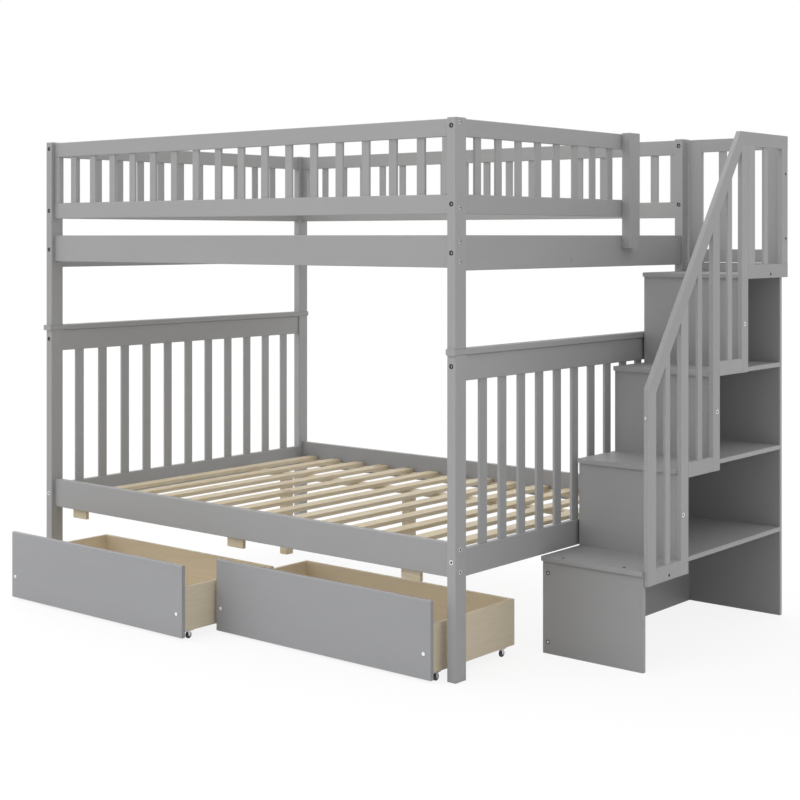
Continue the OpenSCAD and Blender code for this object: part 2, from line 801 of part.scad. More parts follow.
// Stepped board between the bed and the stair's shelves, one step behind each riser
module stair_side() {
    y = [for (r = riser_y) r + board_t];
    z = [for (t = tread_z) t - tread_t];
    steps = [for (i = [0 : last]) each [[y[i], i == 0 ? 0 : z[i - 1]], [y[i], z[i]]]];
    color(paint)
        at(stair_x, 0, 0)
            rotate([90, 0, 90])
                linear_extrude(board_t)
                    polygon(concat(steps, [[stair_rear_y, z[last]], [stair_rear_y, 0]]));
}
module stair_rear() {
    color(paint)
        along_z([stair_x, stair_out], [stair_rear_y, stair_rear_end], [0, landing_z - tread_t], 1);
}
module stair_risers() {
    color(paint)
        difference() {
            for (i = [0 : last])
                along_z(board_x, [riser_y[i], riser_y[i] + board_t],
                        [i == 0 ? 0 : tread_z[i - 1], tread_z[i] - tread_t], 1);
            stair_bolt_places() plain_bolt_way();
        }
}

// Treads run back as shelves to the rear panel, notched round the stepped side board
module tread(i) {
    back = riser_y[i + 1] + board_t;
    at(0, 0, tread_z[i] - tread_t)
        linear_extrude(tread_t)
            polygon([[board_x[0], riser_y[i] - nosing], [board_x[1], riser_y[i] - nosing],
                     [board_x[1], stair_rear_y], [shelf_x[0], stair_rear_y],
                     [shelf_x[0], back], [board_x[0], back]]);
}
module stair_treads() {
    color(paint) {
        for (i = [0 : last - 1]) tread(i);
        along_x(board_x, landing_y, [landing_z - tread_t, landing_z], 1);
    }
}

// Handrail: posts cut to the climbing rail above them
module climb_cut() {
    at(hand_x[0] - far, 0, 0)
        rotate([90, 0, 90])
            linear_extrude(hand_t + 2 * far)
                polygon([[0, climb_z - climb_drop - climb_slope * hand_post_y[0]],
                         [climb_end_low_y, hand_top_z], [bed_w + far, hand_top_z],
                         [bed_w + far, bed_h + far], [0, bed_h + far]]);
}
module hand_post(y, w, z0) {
    difference() {
        along_z(hand_x, [y, y + w], [z0, bed_h], 1);
        climb_cut();
    }
}
// The first post ends in a mitre with the climbing rail
module first_post() {
    y = hand_post_y[0];
    at(hand_x[0], 0, 0)
        rotate([90, 0, 90])
            linear_extrude(hand_t)
                polygon([[y, foot_rail_z[0]], [y + hand_post_w, foot_rail_z[0]],
                         [y + hand_post_w, climb_inner_z], [y, climb_z]]);
}
module handrail_posts() {
    color(paint)
        difference() {
            union() {
                first_post();
                for (i = [1 : last]) hand_post(hand_post_y[i], hand_post_w, foot_rail_z[i - 1]);
                hand_post(landing_rear_y, hand_post_w, landing_rail_top);
            }
            stair_bolt_places() plain_bolt_way();
        }
}
// Foot rails of the handrail and of the rear landing guard
module handrail_foot_rails() {
    color(paint) {
        for (i = [0 : last - 1])
            along_y(hand_x, [hand_post_y[i] + hand_post_w, hand_post_y[i + 1]],
                    [foot_rail_z[i], foot_rail_z[i] + foot_rail_h], 1);
        along_y(hand_x, [landing_stile_y, bed_w], [foot_rail_z[last], landing_rail_top], 1);
        along_x(rear_guard_inner, rear_guard_y, [rear_rail_z, rear_rail_top], 1);
    }
}
module hand_slat(y, z0) {
    difference() {
        along_z(slat_range(hand_x, thin_slat_t), [y, y + hand_slat_w], [z0, bed_h], 1);
        climb_cut();
    }
}
// Slats of the handrail, and the stile beside the landing
module handrail_slats() {
    color(paint) {
        hand_post(landing_stile_y, landing_stile_w, landing_rail_top);
        for (i = [0 : last - 1]) {
            middle = (hand_post_y[i] + hand_post_w + hand_post_y[i + 1]) / 2;
            hand_slat(middle - hand_slat_w / 2, foot_rail_z[i] + foot_rail_h);
        }
        hand_slat(landing_slat_y, landing_rail_top);
    }
}
module handrail_climb() {
    y = hand_post_y[0];
    color(paint)
        at(hand_x[0], 0, 0)
            rotate([90, 0, 90])
                linear_extrude(hand_t)
                    polygon([[y, climb_z], [y + hand_post_w, climb_inner_z],
                             [climb_end_low_y, hand_top_z], [climb_end_y, hand_top]]);
}
module handrail_top_rails() {
    color(paint) {
        at(hand_x[0], 0, 0)
            rotate([90, 0, 90])
                linear_extrude(hand_t)
                    polygon([[climb_end_y, hand_top], [climb_end_low_y, hand_top_z],
                             [bed_w, hand_top_z], [bed_w, hand_top]]);
        along_x(rear_guard_inner, rear_guard_y, [hand_top_z, hand_top], 1);
    }
}

// Stiles, slats and kick board of the guard behind the landing
rear_guard_inner = [rear_guard_x[0] + rear_stile_w, rear_guard_x[1] - rear_stile_w];
rear_rail_z = landing_z + kick_h + kick_gap;
rear_rail_top = rear_rail_z + foot_rail_h;
module landing_guard() {
    space = (rear_guard_inner[1] - rear_guard_inner[0] - 2 * hand_slat_w) / 3;
    color(paint) {
        for (x = [rear_guard_x[0], rear_guard_inner[1]])
            along_z([x, x + rear_stile_w], rear_guard_y, [landing_z, hand_top], 1);
        for (x = starts(rear_guard_inner, 2, hand_slat_w, space, space))
            along_z([x, x + hand_slat_w], slat_range(rear_guard_y, thin_slat_t),
                    [rear_rail_top, hand_top_z], 1);
        along_x(rear_guard_inner, rear_guard_y, [landing_z, landing_z + kick_h], 1);
    }
}

// Bolts that hold the handrail's posts to the risers
module stair_bolt_places() {
    for (i = [1 : last])
        at(hand_x[1], riser_y[i] + board_t / 2, stair_bolt_z[i - 1]) rotate([0, -90, 0]) children();
}
// Bolts of the entry stile: one from outside into the end rail, two from inside through the guard
module entry_bolt_places() {
    at(entry_face + entry_stile_t, entry_end - entry_bolt_edge, upper_rail_top - entry_bolt_drop)
        rotate([0, -90, 0]) children();
    for (z = [(guard_z + guard_low_top) / 2, (guard_top_z + guard_top) / 2])
        at(entry_face - rail_t, (entry_stile_y + entry_end) / 2, z)
            rotate([0, 90, 0]) children();
}
// Spare bolts in the face of the entry post towards the entry opening
module entry_post_bolt_places() {
    for (z = [end_guard_bolt_z[0] + entry_post_bolt_rise, end_guard_bolt_z[1]])
        at(bed_l - post_w / 2, inner_y[1], z) rotate([-90, 0, 0]) children();
}
module plain_bolt_way() {
    bolt_way(plain_bolt_l);
}
module plain_bolt() {
    hex_bolt(plain_bolt_l - counterbore + head_h);
}
// All bolts with their insert nuts, and the pins between lower and upper posts
module bolts_and_pins() {
    color(steel) {
        for (on_right = [0, 1], on_rear = [0, 1]) {
            end_bolt_places(on_right, on_rear, end_levels(on_right, on_rear)) bolt(post_d);
            side_bolt_places(on_right, on_rear, side_bolt_z) bolt(post_w);
            corner(on_right, on_rear) pin_at(pin_d);
        }
        stair_bolt_places() plain_bolt();
        beam_bolt_places(lower_beam_y, lower_deck_z) plain_bolt();
        beam_bolt_places(upper_beam_y, upper_deck_z) plain_bolt();
        entry_bolt_places() plain_bolt();
        entry_post_bolt_places() plain_bolt();
    }
}

// Drawers: a painted front on a plywood box that rolls on four casters
module drawer_front(x, y) {
    color(drawer_paint)
        along_x([x, x + drawer_w], [y, y + drawer_front_t],
                [drawer_front_z, drawer_front_z + drawer_front_h]);
}
function box_x(x) = [x + box_inset, x + drawer_w - box_inset];
function box_y(y) = [y + drawer_front_t, y + drawer_depth];
module drawer_sides(x, y) {
    color(plywood)
        difference() {
            for (left = [box_x(x)[0], box_x(x)[1] - box_t])
                along_y([left, left + box_t], box_y(y), [box_z, box_z + box_h], 1);
            drawer_bottom_slab(x, y);
        }
}
module drawer_ends(x, y) {
    color(plywood)
        difference() {
            for (front = [box_y(y)[0], box_y(y)[1] - box_t])
                along_x([box_x(x)[0] + box_t, box_x(x)[1] - box_t], [front, front + box_t],
                        [box_z, box_z + box_h], 1);
            drawer_bottom_slab(x, y);
        }
}
module drawer_bottom_slab(x, y) {
    wall = box_t - groove;
    at(x + box_inset + wall, y + drawer_front_t + wall, bottom_z)
        cube([drawer_w - 2 * (box_inset + wall), drawer_depth - drawer_front_t - 2 * wall, bottom_t]);
}
module drawer_bottom(x, y) {
    color(plywood) drawer_bottom_slab(x, y);
}

// Middle of a drawer's caster: 0 and 1 at the left, 2 and 3 at the right, front ones even
function caster_x(x, i) = i < 2 ? x + box_inset + box_t / 2 : x + drawer_w - box_inset - box_t / 2;
function caster_y(y, i) = i % 2 == 0 ? y + caster_front : y + drawer_depth - caster_back;
module drawer_casters(x, y) {
    for (i = [0 : 3]) at(caster_x(x, i), caster_y(y, i), 0) caster();
}
module caster() {
    color(steel) {
        translate([-plate_w / 2, -plate_l / 2, box_z - plate_t]) cube([plate_w, plate_l, plate_t]);
        difference() {
            for (side = [-1, 1])
                translate([side * (cheek_gap + cheek_t) / 2 - cheek_t / 2, 0, 0]) cheek();
            translate([-plate_w, 0, axle_z])
                rotate([0, 90, 0]) cylinder(d = axle_d + 2 * axle_seat, h = 2 * plate_w);
        }
        translate([-plate_w / 2, 0, axle_z]) rotate([0, 90, 0]) cylinder(d = axle_d, h = plate_w);
    }
}
// Cheek of a caster: a round eye round the axle that widens to the plate
module cheek() {
    eye = axle_d / 2 + eye_rim;
    foot = plate_l / 2 - cheek_foot;
    rotate([90, 0, 90])
        linear_extrude(cheek_t)
            union() {
                translate([0, axle_z]) circle(r = eye);
                polygon([[-eye, axle_z], [eye, axle_z], [foot, box_z - plate_t], [-foot, box_z - plate_t]]);
            }
}
module drawer_wheel(x, y, i) {
    r = wheel_d / 2;
    color(black)
        at(caster_x(x, i) - wheel_w / 2, caster_y(y, i), r)
            rotate([0, 90, 0])
                rotate_extrude()
                    polygon([[axle_d / 2 + axle_play, 0], [r - 1, 0], [r, 1], [r, wheel_w - 1],
                             [r - 1, wheel_w], [axle_d / 2 + axle_play, wheel_w]]);
}
module left_drawer_front() {
    drawer_front(left_drawer_x, left_drawer_y);
}
module left_drawer_sides() {
    drawer_sides(left_drawer_x, left_drawer_y);
}
module left_drawer_ends() {
    drawer_ends(left_drawer_x, left_drawer_y);
}
module left_drawer_bottom() {
    drawer_bottom(left_drawer_x, left_drawer_y);
}
module left_drawer_casters() {
    drawer_casters(left_drawer_x, left_drawer_y);
}
module left_drawer_wheel(i) {
    drawer_wheel(left_drawer_x, left_drawer_y, i);
}
module right_drawer_front() {
    drawer_front(right_drawer_x, right_drawer_y);
}
module right_drawer_sides() {
    drawer_sides(right_drawer_x, right_drawer_y);
}
module right_drawer_ends() {
    drawer_ends(right_drawer_x, right_drawer_y);
}
module right_drawer_bottom() {
    drawer_bottom(right_drawer_x, right_drawer_y);
}
module right_drawer_casters() {
    drawer_casters(right_drawer_x, right_drawer_y);
}
module right_drawer_wheel(i) {
    drawer_wheel(right_drawer_x, right_drawer_y, i);
}

lower_left_posts();
lower_right_posts();
panel_caps();
left_panel_rails();
left_panel_slats();
right_panel_rails();
right_panel_slats();
lower_front_rail();
lower_rear_rail();
lower_ledgers();
lower_deck_slats();
support_beam();
beam_legs();
rail_blocks();
upper_left_posts();
upper_right_posts();
upper_front_rail();
upper_rear_rail();
upper_end_rails();
upper_ledgers();
upper_deck_slats();
upper_beam();
front_guard_rails();
front_guard_slats();
rear_guard_rails();
rear_guard_slats();
left_guard_rails();
left_guard_slats();
right_guard_rails();
right_guard_slats();
entry_stile();
stair_side();
stair_rear();
stair_risers();
stair_treads();
handrail_posts();
handrail_foot_rails();
handrail_slats();
handrail_climb();
handrail_top_rails();
landing_guard();
left_drawer_front();
left_drawer_sides();
left_drawer_ends();
left_drawer_bottom();
left_drawer_casters();
left_drawer_wheel(0);  // left_drawer_wheel_1
left_drawer_wheel(1);  // left_drawer_wheel_2
left_drawer_wheel(2);  // left_drawer_wheel_3
left_drawer_wheel(3);  // left_drawer_wheel_4
right_drawer_front();
right_drawer_sides();
right_drawer_ends();
right_drawer_bottom();
right_drawer_casters();
right_drawer_wheel(0);  // right_drawer_wheel_1
right_drawer_wheel(1);  // right_drawer_wheel_2
right_drawer_wheel(2);  // right_drawer_wheel_3
right_drawer_wheel(3);  // right_drawer_wheel_4
bolts_and_pins();
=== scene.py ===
"""Looks of a full over full bunk bed with a storage stair and two rolling drawers.

The bed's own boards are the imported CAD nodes. This file gives them painted wood, pine, plywood,
steel and plastic, adds screws, the flanges, sockets and caps of bolts and two painted strips, and
sets the stage and the camera. Metres, X along the bed, Y from front to back, Z up, from the
middle of the front left foot.
"""

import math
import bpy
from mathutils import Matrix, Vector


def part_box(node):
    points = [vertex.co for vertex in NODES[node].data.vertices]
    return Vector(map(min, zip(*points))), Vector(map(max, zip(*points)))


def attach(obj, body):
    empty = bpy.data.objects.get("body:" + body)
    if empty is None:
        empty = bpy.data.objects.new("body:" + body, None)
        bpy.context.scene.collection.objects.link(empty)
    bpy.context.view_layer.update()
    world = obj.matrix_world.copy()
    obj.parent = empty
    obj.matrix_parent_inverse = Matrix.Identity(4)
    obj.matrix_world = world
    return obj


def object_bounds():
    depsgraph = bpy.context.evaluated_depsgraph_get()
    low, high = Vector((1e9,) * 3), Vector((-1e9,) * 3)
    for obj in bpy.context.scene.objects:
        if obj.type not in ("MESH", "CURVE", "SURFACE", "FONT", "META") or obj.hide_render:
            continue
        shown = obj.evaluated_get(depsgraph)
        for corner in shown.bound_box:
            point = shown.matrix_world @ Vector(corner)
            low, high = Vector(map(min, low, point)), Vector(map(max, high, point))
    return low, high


bl_info = {
    "name": "Bunk Bed With Storage Stair",
    "version": (1, 0, 0),
    "blender": (4, 5, 0),
    "location": "View3D > Sidebar > Bunk Bed",
    "description": "Finishes, small fastenings and a plain stage for a painted bunk bed",
    "category": "Add Mesh",
}

import bpy
import numpy as np
from bpy.props import FloatProperty, FloatVectorProperty, IntProperty, PointerProperty
from bpy.types import Operator, Panel, PropertyGroup

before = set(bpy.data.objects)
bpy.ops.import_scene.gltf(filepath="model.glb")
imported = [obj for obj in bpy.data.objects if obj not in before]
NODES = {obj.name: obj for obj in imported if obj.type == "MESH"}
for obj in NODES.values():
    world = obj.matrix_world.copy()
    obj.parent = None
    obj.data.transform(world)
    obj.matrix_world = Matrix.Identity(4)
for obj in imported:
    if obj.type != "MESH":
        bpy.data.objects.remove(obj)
cad_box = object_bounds()
PHOTO_SIDE = 800
MM = 0.001


# Settings

def colour(name, what, default):
    """A colour property with its name, what it colours and its default in linear light."""
    return FloatVectorProperty(name=name, description=what, subtype="COLOR", size=3, min=0, max=1,
                               default=default)


def factor(name, what, default):
    """A property from 0 to 1."""
    return FloatProperty(name=name, description=what, subtype="FACTOR", min=0, max=1,
                         default=default)


def length(name, what, default):
    """A length in metres."""
    return FloatProperty(name=name, description=what, unit="LENGTH", precision=4, default=default)


def degrees(name, what, default):
    """An angle, its default in degrees."""
    return FloatProperty(name=name, description=what, subtype="ANGLE",
                         default=math.radians(default))


def number(name, what, default):
    """A plain number."""
    return FloatProperty(name=name, description=what, default=default)


class BunkFinishes(PropertyGroup):
    """Colours and strengths of the finishes."""

    paint: colour("Paint", "Grey paint of the bed frame and the stair", (0.385, 0.385, 0.388))
    drawer_paint: colour("Drawer paint", "Grey paint of the drawer fronts", (0.380, 0.382, 0.395))
    # Lighter paint along the edges: partly paint rubbed thin, partly a painted highlight on the
    # edges
    worn_highlit_edge: colour("Worn edge", "Paint rubbed thin along the edges", (0.52, 0.515, 0.50))
    pine: colour("Pine", "Early wood of the deck slats and beams", (0.74, 0.665, 0.51))
    pine_ring: colour("Pine rings", "Late wood of the deck slats and beams", (0.61, 0.47, 0.285))
    knot: colour("Knots", "Knots in bare pine", (0.33, 0.18, 0.08))
    plywood: colour("Plywood", "Face of the drawer boxes", (0.815, 0.73, 0.57))
    plywood_figure: colour("Plywood figure", "Darker figure of the boxes", (0.71, 0.60, 0.44))
    glue_line: colour("Glue lines", "Darker plies in the rims of the boxes", (0.42, 0.31, 0.19))
    zinc: colour("Zinc", "Bolts, nuts, small screws and caster brackets", (0.62, 0.62, 0.63))
    # Blackened steel also colours painted shade: the bolts' dark flanges and socket cups, and the
    # rings round the riser screws
    blackened: colour("Blackened steel", "Dark flanges, sockets and screws", (0.012, 0.012, 0.013))
    chrome: colour("Chrome", "Bright flanges and the drawers' screws", (0.83, 0.83, 0.85))
    wheels: colour("Wheels", "Plastic of the caster wheels", (0.018, 0.018, 0.019))
    grain: factor("Grain under paint", "How far the grain shows through the paint", 0.3)
    # How far the edges are lightened, as rubbed paint and as a painted highlight
    edge_wear_and_highlight: factor("Edge wear", "How far the paint is rubbed along the edges", 0.35)
    spill: factor("Colour spill", "How much of its colour the pine throws around", 0.35)


class BunkScrews(PropertyGroup):
    """Sizes of the screws and of what shows of the bolts."""

    front_head: length("Drawer screw head", "Diameter of the drawer fronts' screws", 0.013)
    small_head: length("Small screw head", "Diameter of the stair's and handrail's screws", 0.010)
    flange: length("Bolt flange", "Outer diameter of the bolts' flanges", 0.0155)
    flange_hole: length("Bolt flange hole", "Inner diameter of the bolts' flanges", 0.0076)
    flange_thick: length("Bolt flange thickness", "How far they stand off the wood", 0.0008)
    socket: length("Bolt socket", "Width of the hex sockets across their corners", 0.0062)
    slat_head: length("Slat screw head", "Diameter of the deck slats' screws", 0.007)
    front_height: length("Drawer screw height", "Height of the drawer fronts' screws", 0.0865)


class BunkStage(PropertyGroup):
    """Camera, lamps and floor."""

    camera_place: FloatVectorProperty(name="Camera", description="Place of the camera", size=3,
                                      subtype="TRANSLATION", default=(4.8237, -3.6987, 1.3588))
    turn: degrees("Turn", "Camera's turn round the vertical", 39.776)
    focal: number("Focal length", "Focal length in pixels of the picture", 1526.95)
    horizon: number("Horizon", "Row of the picture that shows the horizon", 236.5)
    left: number("Left", "Strength of the soft light from the left", 2.12)
    right: number("Right", "Strength of the soft light from the right", 0.62)
    behind: number("Behind", "Strength of the soft light from behind", 0.45)
    above: number("Above", "Strength of the soft light from above", 0.73)
    key: number("Key", "Strength of the soft lamp in front", 0.355)
    key_spread: degrees("Key spread", "Angle that the soft lamp fills in the sky", 40)
    key_tilt: degrees("Key tilt", "Angle of the soft lamp from straight above", 52)
    key_turn: degrees("Key turn", "Turn of the soft lamp round the vertical", -12)
    floor: colour("Floor", "Colour of the floor", (0.97, 0.97, 0.97))
    floor_bounce: factor("Floor bounce", "Share of light that the floor throws back up", 0.62)
    floor_white: factor("Floor white", "How far the floor is plain white where it shows", 0.86)
    sides: IntProperty(name="Floor sides", description="Corners round the floor", default=96)


# Nodes and shader groups

NUMBER, VECTOR = "NodeSocketFloat", "NodeSocketVector"


def fill(tree, node, ins):
    """Fills a node's inputs from numbers, colours or sockets."""
    for key, value in ins.items():
        if isinstance(value, bpy.types.NodeSocket):
            tree.links.new(value, node.inputs[key])
        else:
            node.inputs[key].default_value = value
    return node


def add(tree, kind, ins=None, **settings):
    """Adds a shader node, sets its properties and fills its inputs."""
    made = tree.nodes.new("ShaderNode" + kind)
    for name, value in settings.items():
        setattr(made, name, value)
    return fill(tree, made, ins or {})


def maths(tree, operation, *values, clamp=False):
    """One step of arithmetic; the result's socket."""
    made = add(tree, "Math", dict(enumerate(values)), operation=operation, use_clamp=clamp)
    return made.outputs[0]


def vectors(tree, operation, *values):
    """One step of vector arithmetic; the result's socket."""
    return add(tree, "VectorMath", dict(enumerate(values)), operation=operation).outputs[0]


def blend_colour(tree, share, a, b):
    """Colour between a, at a share of 0, and b, at 1."""
    rgba = [v if isinstance(v, bpy.types.NodeSocket) else (*v, 1) for v in (a, b)]
    return add(tree, "Mix", {0: share, 6: rgba[0], 7: rgba[1]}, data_type="RGBA").outputs[2]


def ramp(tree, value, low, high):
    """Smooth step from 0 at low to 1 at high."""
    ins = {0: value, 1: low, 2: high}
    return add(tree, "MapRange", ins, interpolation_type="SMOOTHSTEP").outputs[0]


def noise(tree, place, scale, detail=2.0, roughness=0.5):
    """Noise over a place that is first stretched by a vector."""
    stretched = vectors(tree, "MULTIPLY", place, scale)
    ins = {"Vector": stretched, "Scale": 1.0, "Detail": detail, "Roughness": roughness}
    return add(tree, "TexNoise", ins)


def new_group(name, inputs, outputs):
    """A shader node group with the given sockets: its tree and the node that brings its inputs."""
    tree = bpy.data.node_groups.new(name, "ShaderNodeTree")
    for socket, kind, value in inputs:
        made = tree.interface.new_socket(socket, in_out="INPUT", socket_type=kind)
        if value is not None:
            made.default_value = value
    for socket, kind in outputs:
        tree.interface.new_socket(socket, in_out="OUTPUT", socket_type=kind)
    return tree, tree.nodes.new("NodeGroupInput")


def close_group(tree, results):
    """Joins the sockets in results to the group's outputs."""
    fill(tree, tree.nodes.new("NodeGroupOutput"), results)
    return tree


def wood_grain_group():
    """Grain of a board that runs along X of its input: tone, growth rings, fibres and knots.

    Every board's number shifts the patterns. Rings are the level lines of a noise stretched along
    the board, so they close into flames, and knots are the middles of a few cells."""
    board_shift, ring_count, cells_without_knots = 9.0, 150.0, 0.86
    tree, given = new_group("Wood Grain", [("Place", VECTOR, None), ("Board", NUMBER, 0.0)],
                            [(name, NUMBER) for name in ("Tone", "Rings", "Fibres", "Knots")])
    own = add(tree, "TexWhiteNoise", {"W": given.outputs["Board"]}, noise_dimensions="1D")
    shift = vectors(tree, "SCALE", own.outputs["Color"])
    shift.node.inputs["Scale"].default_value = board_shift
    place = vectors(tree, "ADD", given.outputs["Place"], shift)
    drift = noise(tree, place, (1.3, 6, 6), 2.0).outputs["Color"]
    drift = vectors(tree, "SUBTRACT", drift, (0.5, 0.5, 0.5))
    place = vectors(tree, "ADD", place, vectors(tree, "MULTIPLY", drift, (0, 0.03, 0.03)))
    flame = noise(tree, place, (0.7, 11, 11), 1.2).outputs[0]
    wave = maths(tree, "SINE", maths(tree, "MULTIPLY", flame, ring_count))
    rings = maths(tree, "POWER", maths(tree, "MULTIPLY_ADD", wave, 0.5, 0.5), 2.2)
    tone = noise(tree, place, (1.1, 5, 5), 3.0).outputs[0]
    fibres = noise(tree, place, (7, 520, 520), 3.0, 0.6).outputs[0]
    stretched = vectors(tree, "MULTIPLY", place, (3.6, 10, 10))
    cell = add(tree, "TexVoronoi", {"Vector": stretched, "Scale": 1.0})
    luck = add(tree, "SeparateXYZ", {0: cell.outputs["Color"]}).outputs[0]
    chosen = maths(tree, "GREATER_THAN", luck, cells_without_knots)
    knots = maths(tree, "MULTIPLY", ramp(tree, cell.outputs["Distance"], 0.14, 0.06), chosen)
    return close_group(tree, {"Tone": tone, "Rings": rings, "Fibres": fibres, "Knots": knots})


def edge_mask_group():
    """Mask of the outer edges, where a rounded normal leaves the true one, broken by a noise."""
    inputs = [("Place", VECTOR, None), ("Width", NUMBER, 0.002), ("Amount", NUMBER, 0.5)]
    tree, given = new_group("Worn Edges", inputs, [("Mask", NUMBER)])
    soft = add(tree, "Bevel", {"Radius": given.outputs["Width"]}, samples=4).outputs[0]
    true = add(tree, "NewGeometry").outputs["True Normal"]
    cosine = add(tree, "VectorMath", {0: soft, 1: true}, operation="DOT_PRODUCT").outputs["Value"]
    edge = ramp(tree, cosine, 0.995, 0.86)
    patches = noise(tree, given.outputs["Place"], (14, 14, 14), 5.0, 0.65).outputs[0]
    patches = ramp(tree, patches, 0.42, 0.62)
    spotted = maths(tree, "MULTIPLY", edge, maths(tree, "MULTIPLY_ADD", patches, 0.75, 0.25))
    mask = maths(tree, "MULTIPLY", spotted, given.outputs["Amount"], clamp=True)
    return close_group(tree, {"Mask": mask})


def handling_group():
    """Faint smears of handling and fine dust, for roughness: 0 is clean, 1 is dull."""
    tree, given = new_group("Handling", [("Place", VECTOR, None)], [("Dull", NUMBER)])
    smears = noise(tree, given.outputs["Place"], (5, 5, 9), 4.0, 0.6).outputs[0]
    dust = noise(tree, given.outputs["Place"], (240, 240, 240), 2.0).outputs[0]
    smears = maths(tree, "MULTIPLY", smears, 0.75)
    return close_group(tree, {"Dull": maths(tree, "MULTIPLY_ADD", dust, 0.25, smears, clamp=True)})


def paint_skin_group():
    """Height of a rolled and sprayed paint film: fine orange peel over the drowned grain."""
    inputs = [("Place", VECTOR, None), ("Rings", NUMBER, 0.0), ("Fibres", NUMBER, 0.0),
              ("Knots", NUMBER, 0.0), ("Grain", NUMBER, 0.5)]
    tree, given = new_group("Paint Skin", inputs, [("Height", NUMBER)])
    peel = noise(tree, given.outputs["Place"], (420, 420, 420), 2.0).outputs[0]
    wood = maths(tree, "ADD", maths(tree, "MULTIPLY", given.outputs["Rings"], 0.8),
                 maths(tree, "MULTIPLY", given.outputs["Fibres"], 0.7))
    wood = maths(tree, "ADD", wood, maths(tree, "MULTIPLY", given.outputs["Knots"], 0.5))
    under = maths(tree, "MULTIPLY", wood, given.outputs["Grain"])
    return close_group(tree, {"Height": maths(tree, "MULTIPLY_ADD", peel, 0.35, under)})


GROUPS = {"Wood Grain": wood_grain_group, "Worn Edges": edge_mask_group,
          "Handling": handling_group, "Paint Skin": paint_skin_group}


def place_group(tree, title, ins):
    """Places a shared group in a material, building it the first time; the node's outputs."""
    made = tree.nodes.new("ShaderNodeGroup")
    made.node_tree = bpy.data.node_groups.get(title) or GROUPS[title]()
    return fill(tree, made, ins).outputs


def new_material(name):
    """An empty node material with its output and a Principled shader."""
    made = bpy.data.materials.new(name)
    made.use_nodes = True
    made.node_tree.nodes.clear()
    tree = made.node_tree
    shader = add(tree, "BsdfPrincipled")
    add(tree, "OutputMaterial", {"Surface": shader.outputs[0]})
    return made, tree, shader


def feed(tree, shader, tint, rough, height, depth):
    """Feeds a colour, a roughness and, through a bump of a given depth, a height to the shader."""
    bump = add(tree, "Bump", {"Height": height, "Strength": 1.0, "Distance": depth})
    fill(tree, shader, {"Base Color": tint, "Roughness": rough, "Normal": bump.outputs[0]})


# Boards: how the grain of each node runs, and how its boards are told apart

AXES = "XYZ"
GRAIN_ORDER = {"X": (0, 1, 2), "Y": (1, 0, 2), "Z": (2, 0, 1)}
CLIMB_ANGLE = math.radians(53.8)
# Nodes with boards along X and others: the axis and level that part them, and the others' way
TWO_WAYS = {"Y or X": (0, 2.36, "Y"), "Z or X": (2, 1.2635, "Z")}


def grain_place(tree, xyz, direction):
    """Object coordinates with the board's direction brought to X."""
    if direction == "climb":
        turned = add(tree, "VectorRotate", {"Vector": xyz, "Angle": -CLIMB_ANGLE},
                     rotation_type="X_AXIS")
        return grain_place(tree, turned.outputs[0], "Y")
    parts = add(tree, "SeparateXYZ", {0: xyz}).outputs
    if direction in TWO_WAYS:
        axis, level, other = TWO_WAYS[direction]
        past = maths(tree, "GREATER_THAN", parts[axis], level)
        ins = {0: past, 4: xyz, 5: grain_place(tree, xyz, other)}
        return add(tree, "Mix", ins, data_type="VECTOR").outputs[1]
    order = GRAIN_ORDER[direction]
    return add(tree, "CombineXYZ", {i: parts[k] for i, k in enumerate(order)}).outputs[0]


def board_number(tree, xyz, node, split):
    """Number of the board at a point: split is None, an axis and a count of equal shares of the
    node's box, or an axis, a start and a pitch in metres."""
    base = float(sorted(NODES).index(node) * 31)
    if split is None:
        return base
    axis = AXES.index(split[0])
    if len(split) == 2:
        low, high = (corner[axis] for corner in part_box(node))
        start, pitch = low - MM, (high - low + 2 * MM) / split[1]
    else:
        start, pitch = split[1], split[2]
    along = add(tree, "SeparateXYZ", {0: xyz}).outputs[axis]
    shares = maths(tree, "DIVIDE", maths(tree, "SUBTRACT", along, start), pitch)
    return maths(tree, "ADD", maths(tree, "FLOOR", shares), base)


def wood_start(kind, node, direction, split):
    """Material named for its kind and node, with object coordinates, the grain group's outputs
    and a random number for each board."""
    made, tree, shader = new_material(kind + " " + node.replace("_", " "))
    xyz = add(tree, "TexCoord").outputs["Object"]
    board = board_number(tree, xyz, node, split)
    ins = {"Place": grain_place(tree, xyz, direction), "Board": board}
    grain = place_group(tree, "Wood Grain", ins)
    luck = add(tree, "TexWhiteNoise", {"W": board}, noise_dimensions="1D").outputs["Value"]
    return made, tree, shader, xyz, grain, luck


# Finishes

PAINT_EDGE, MOULD_EDGE = 0.0028, 0.0008
PAINT_DEPTH, PINE_DEPTH, PLYWOOD_DEPTH = 0.00035, 0.0005, 0.0003
PLATE_DEPTH, COAT_DEPTH, MOULD_DEPTH = 0.00008, 0.00006, 0.00015
PINE_THROWN = (0.62, 0.62, 0.62)
DUST = (0.09, 0.09, 0.09)
PLATED = {"Zinc Plate": ("zinc", 0.3), "Bolt Steel": ("zinc", 0.26), "Chrome": ("chrome", 0.08)}


def scaled(rgb, share):
    """A colour made lighter or darker."""
    return tuple(min(1.0, c * share) for c in rgb)


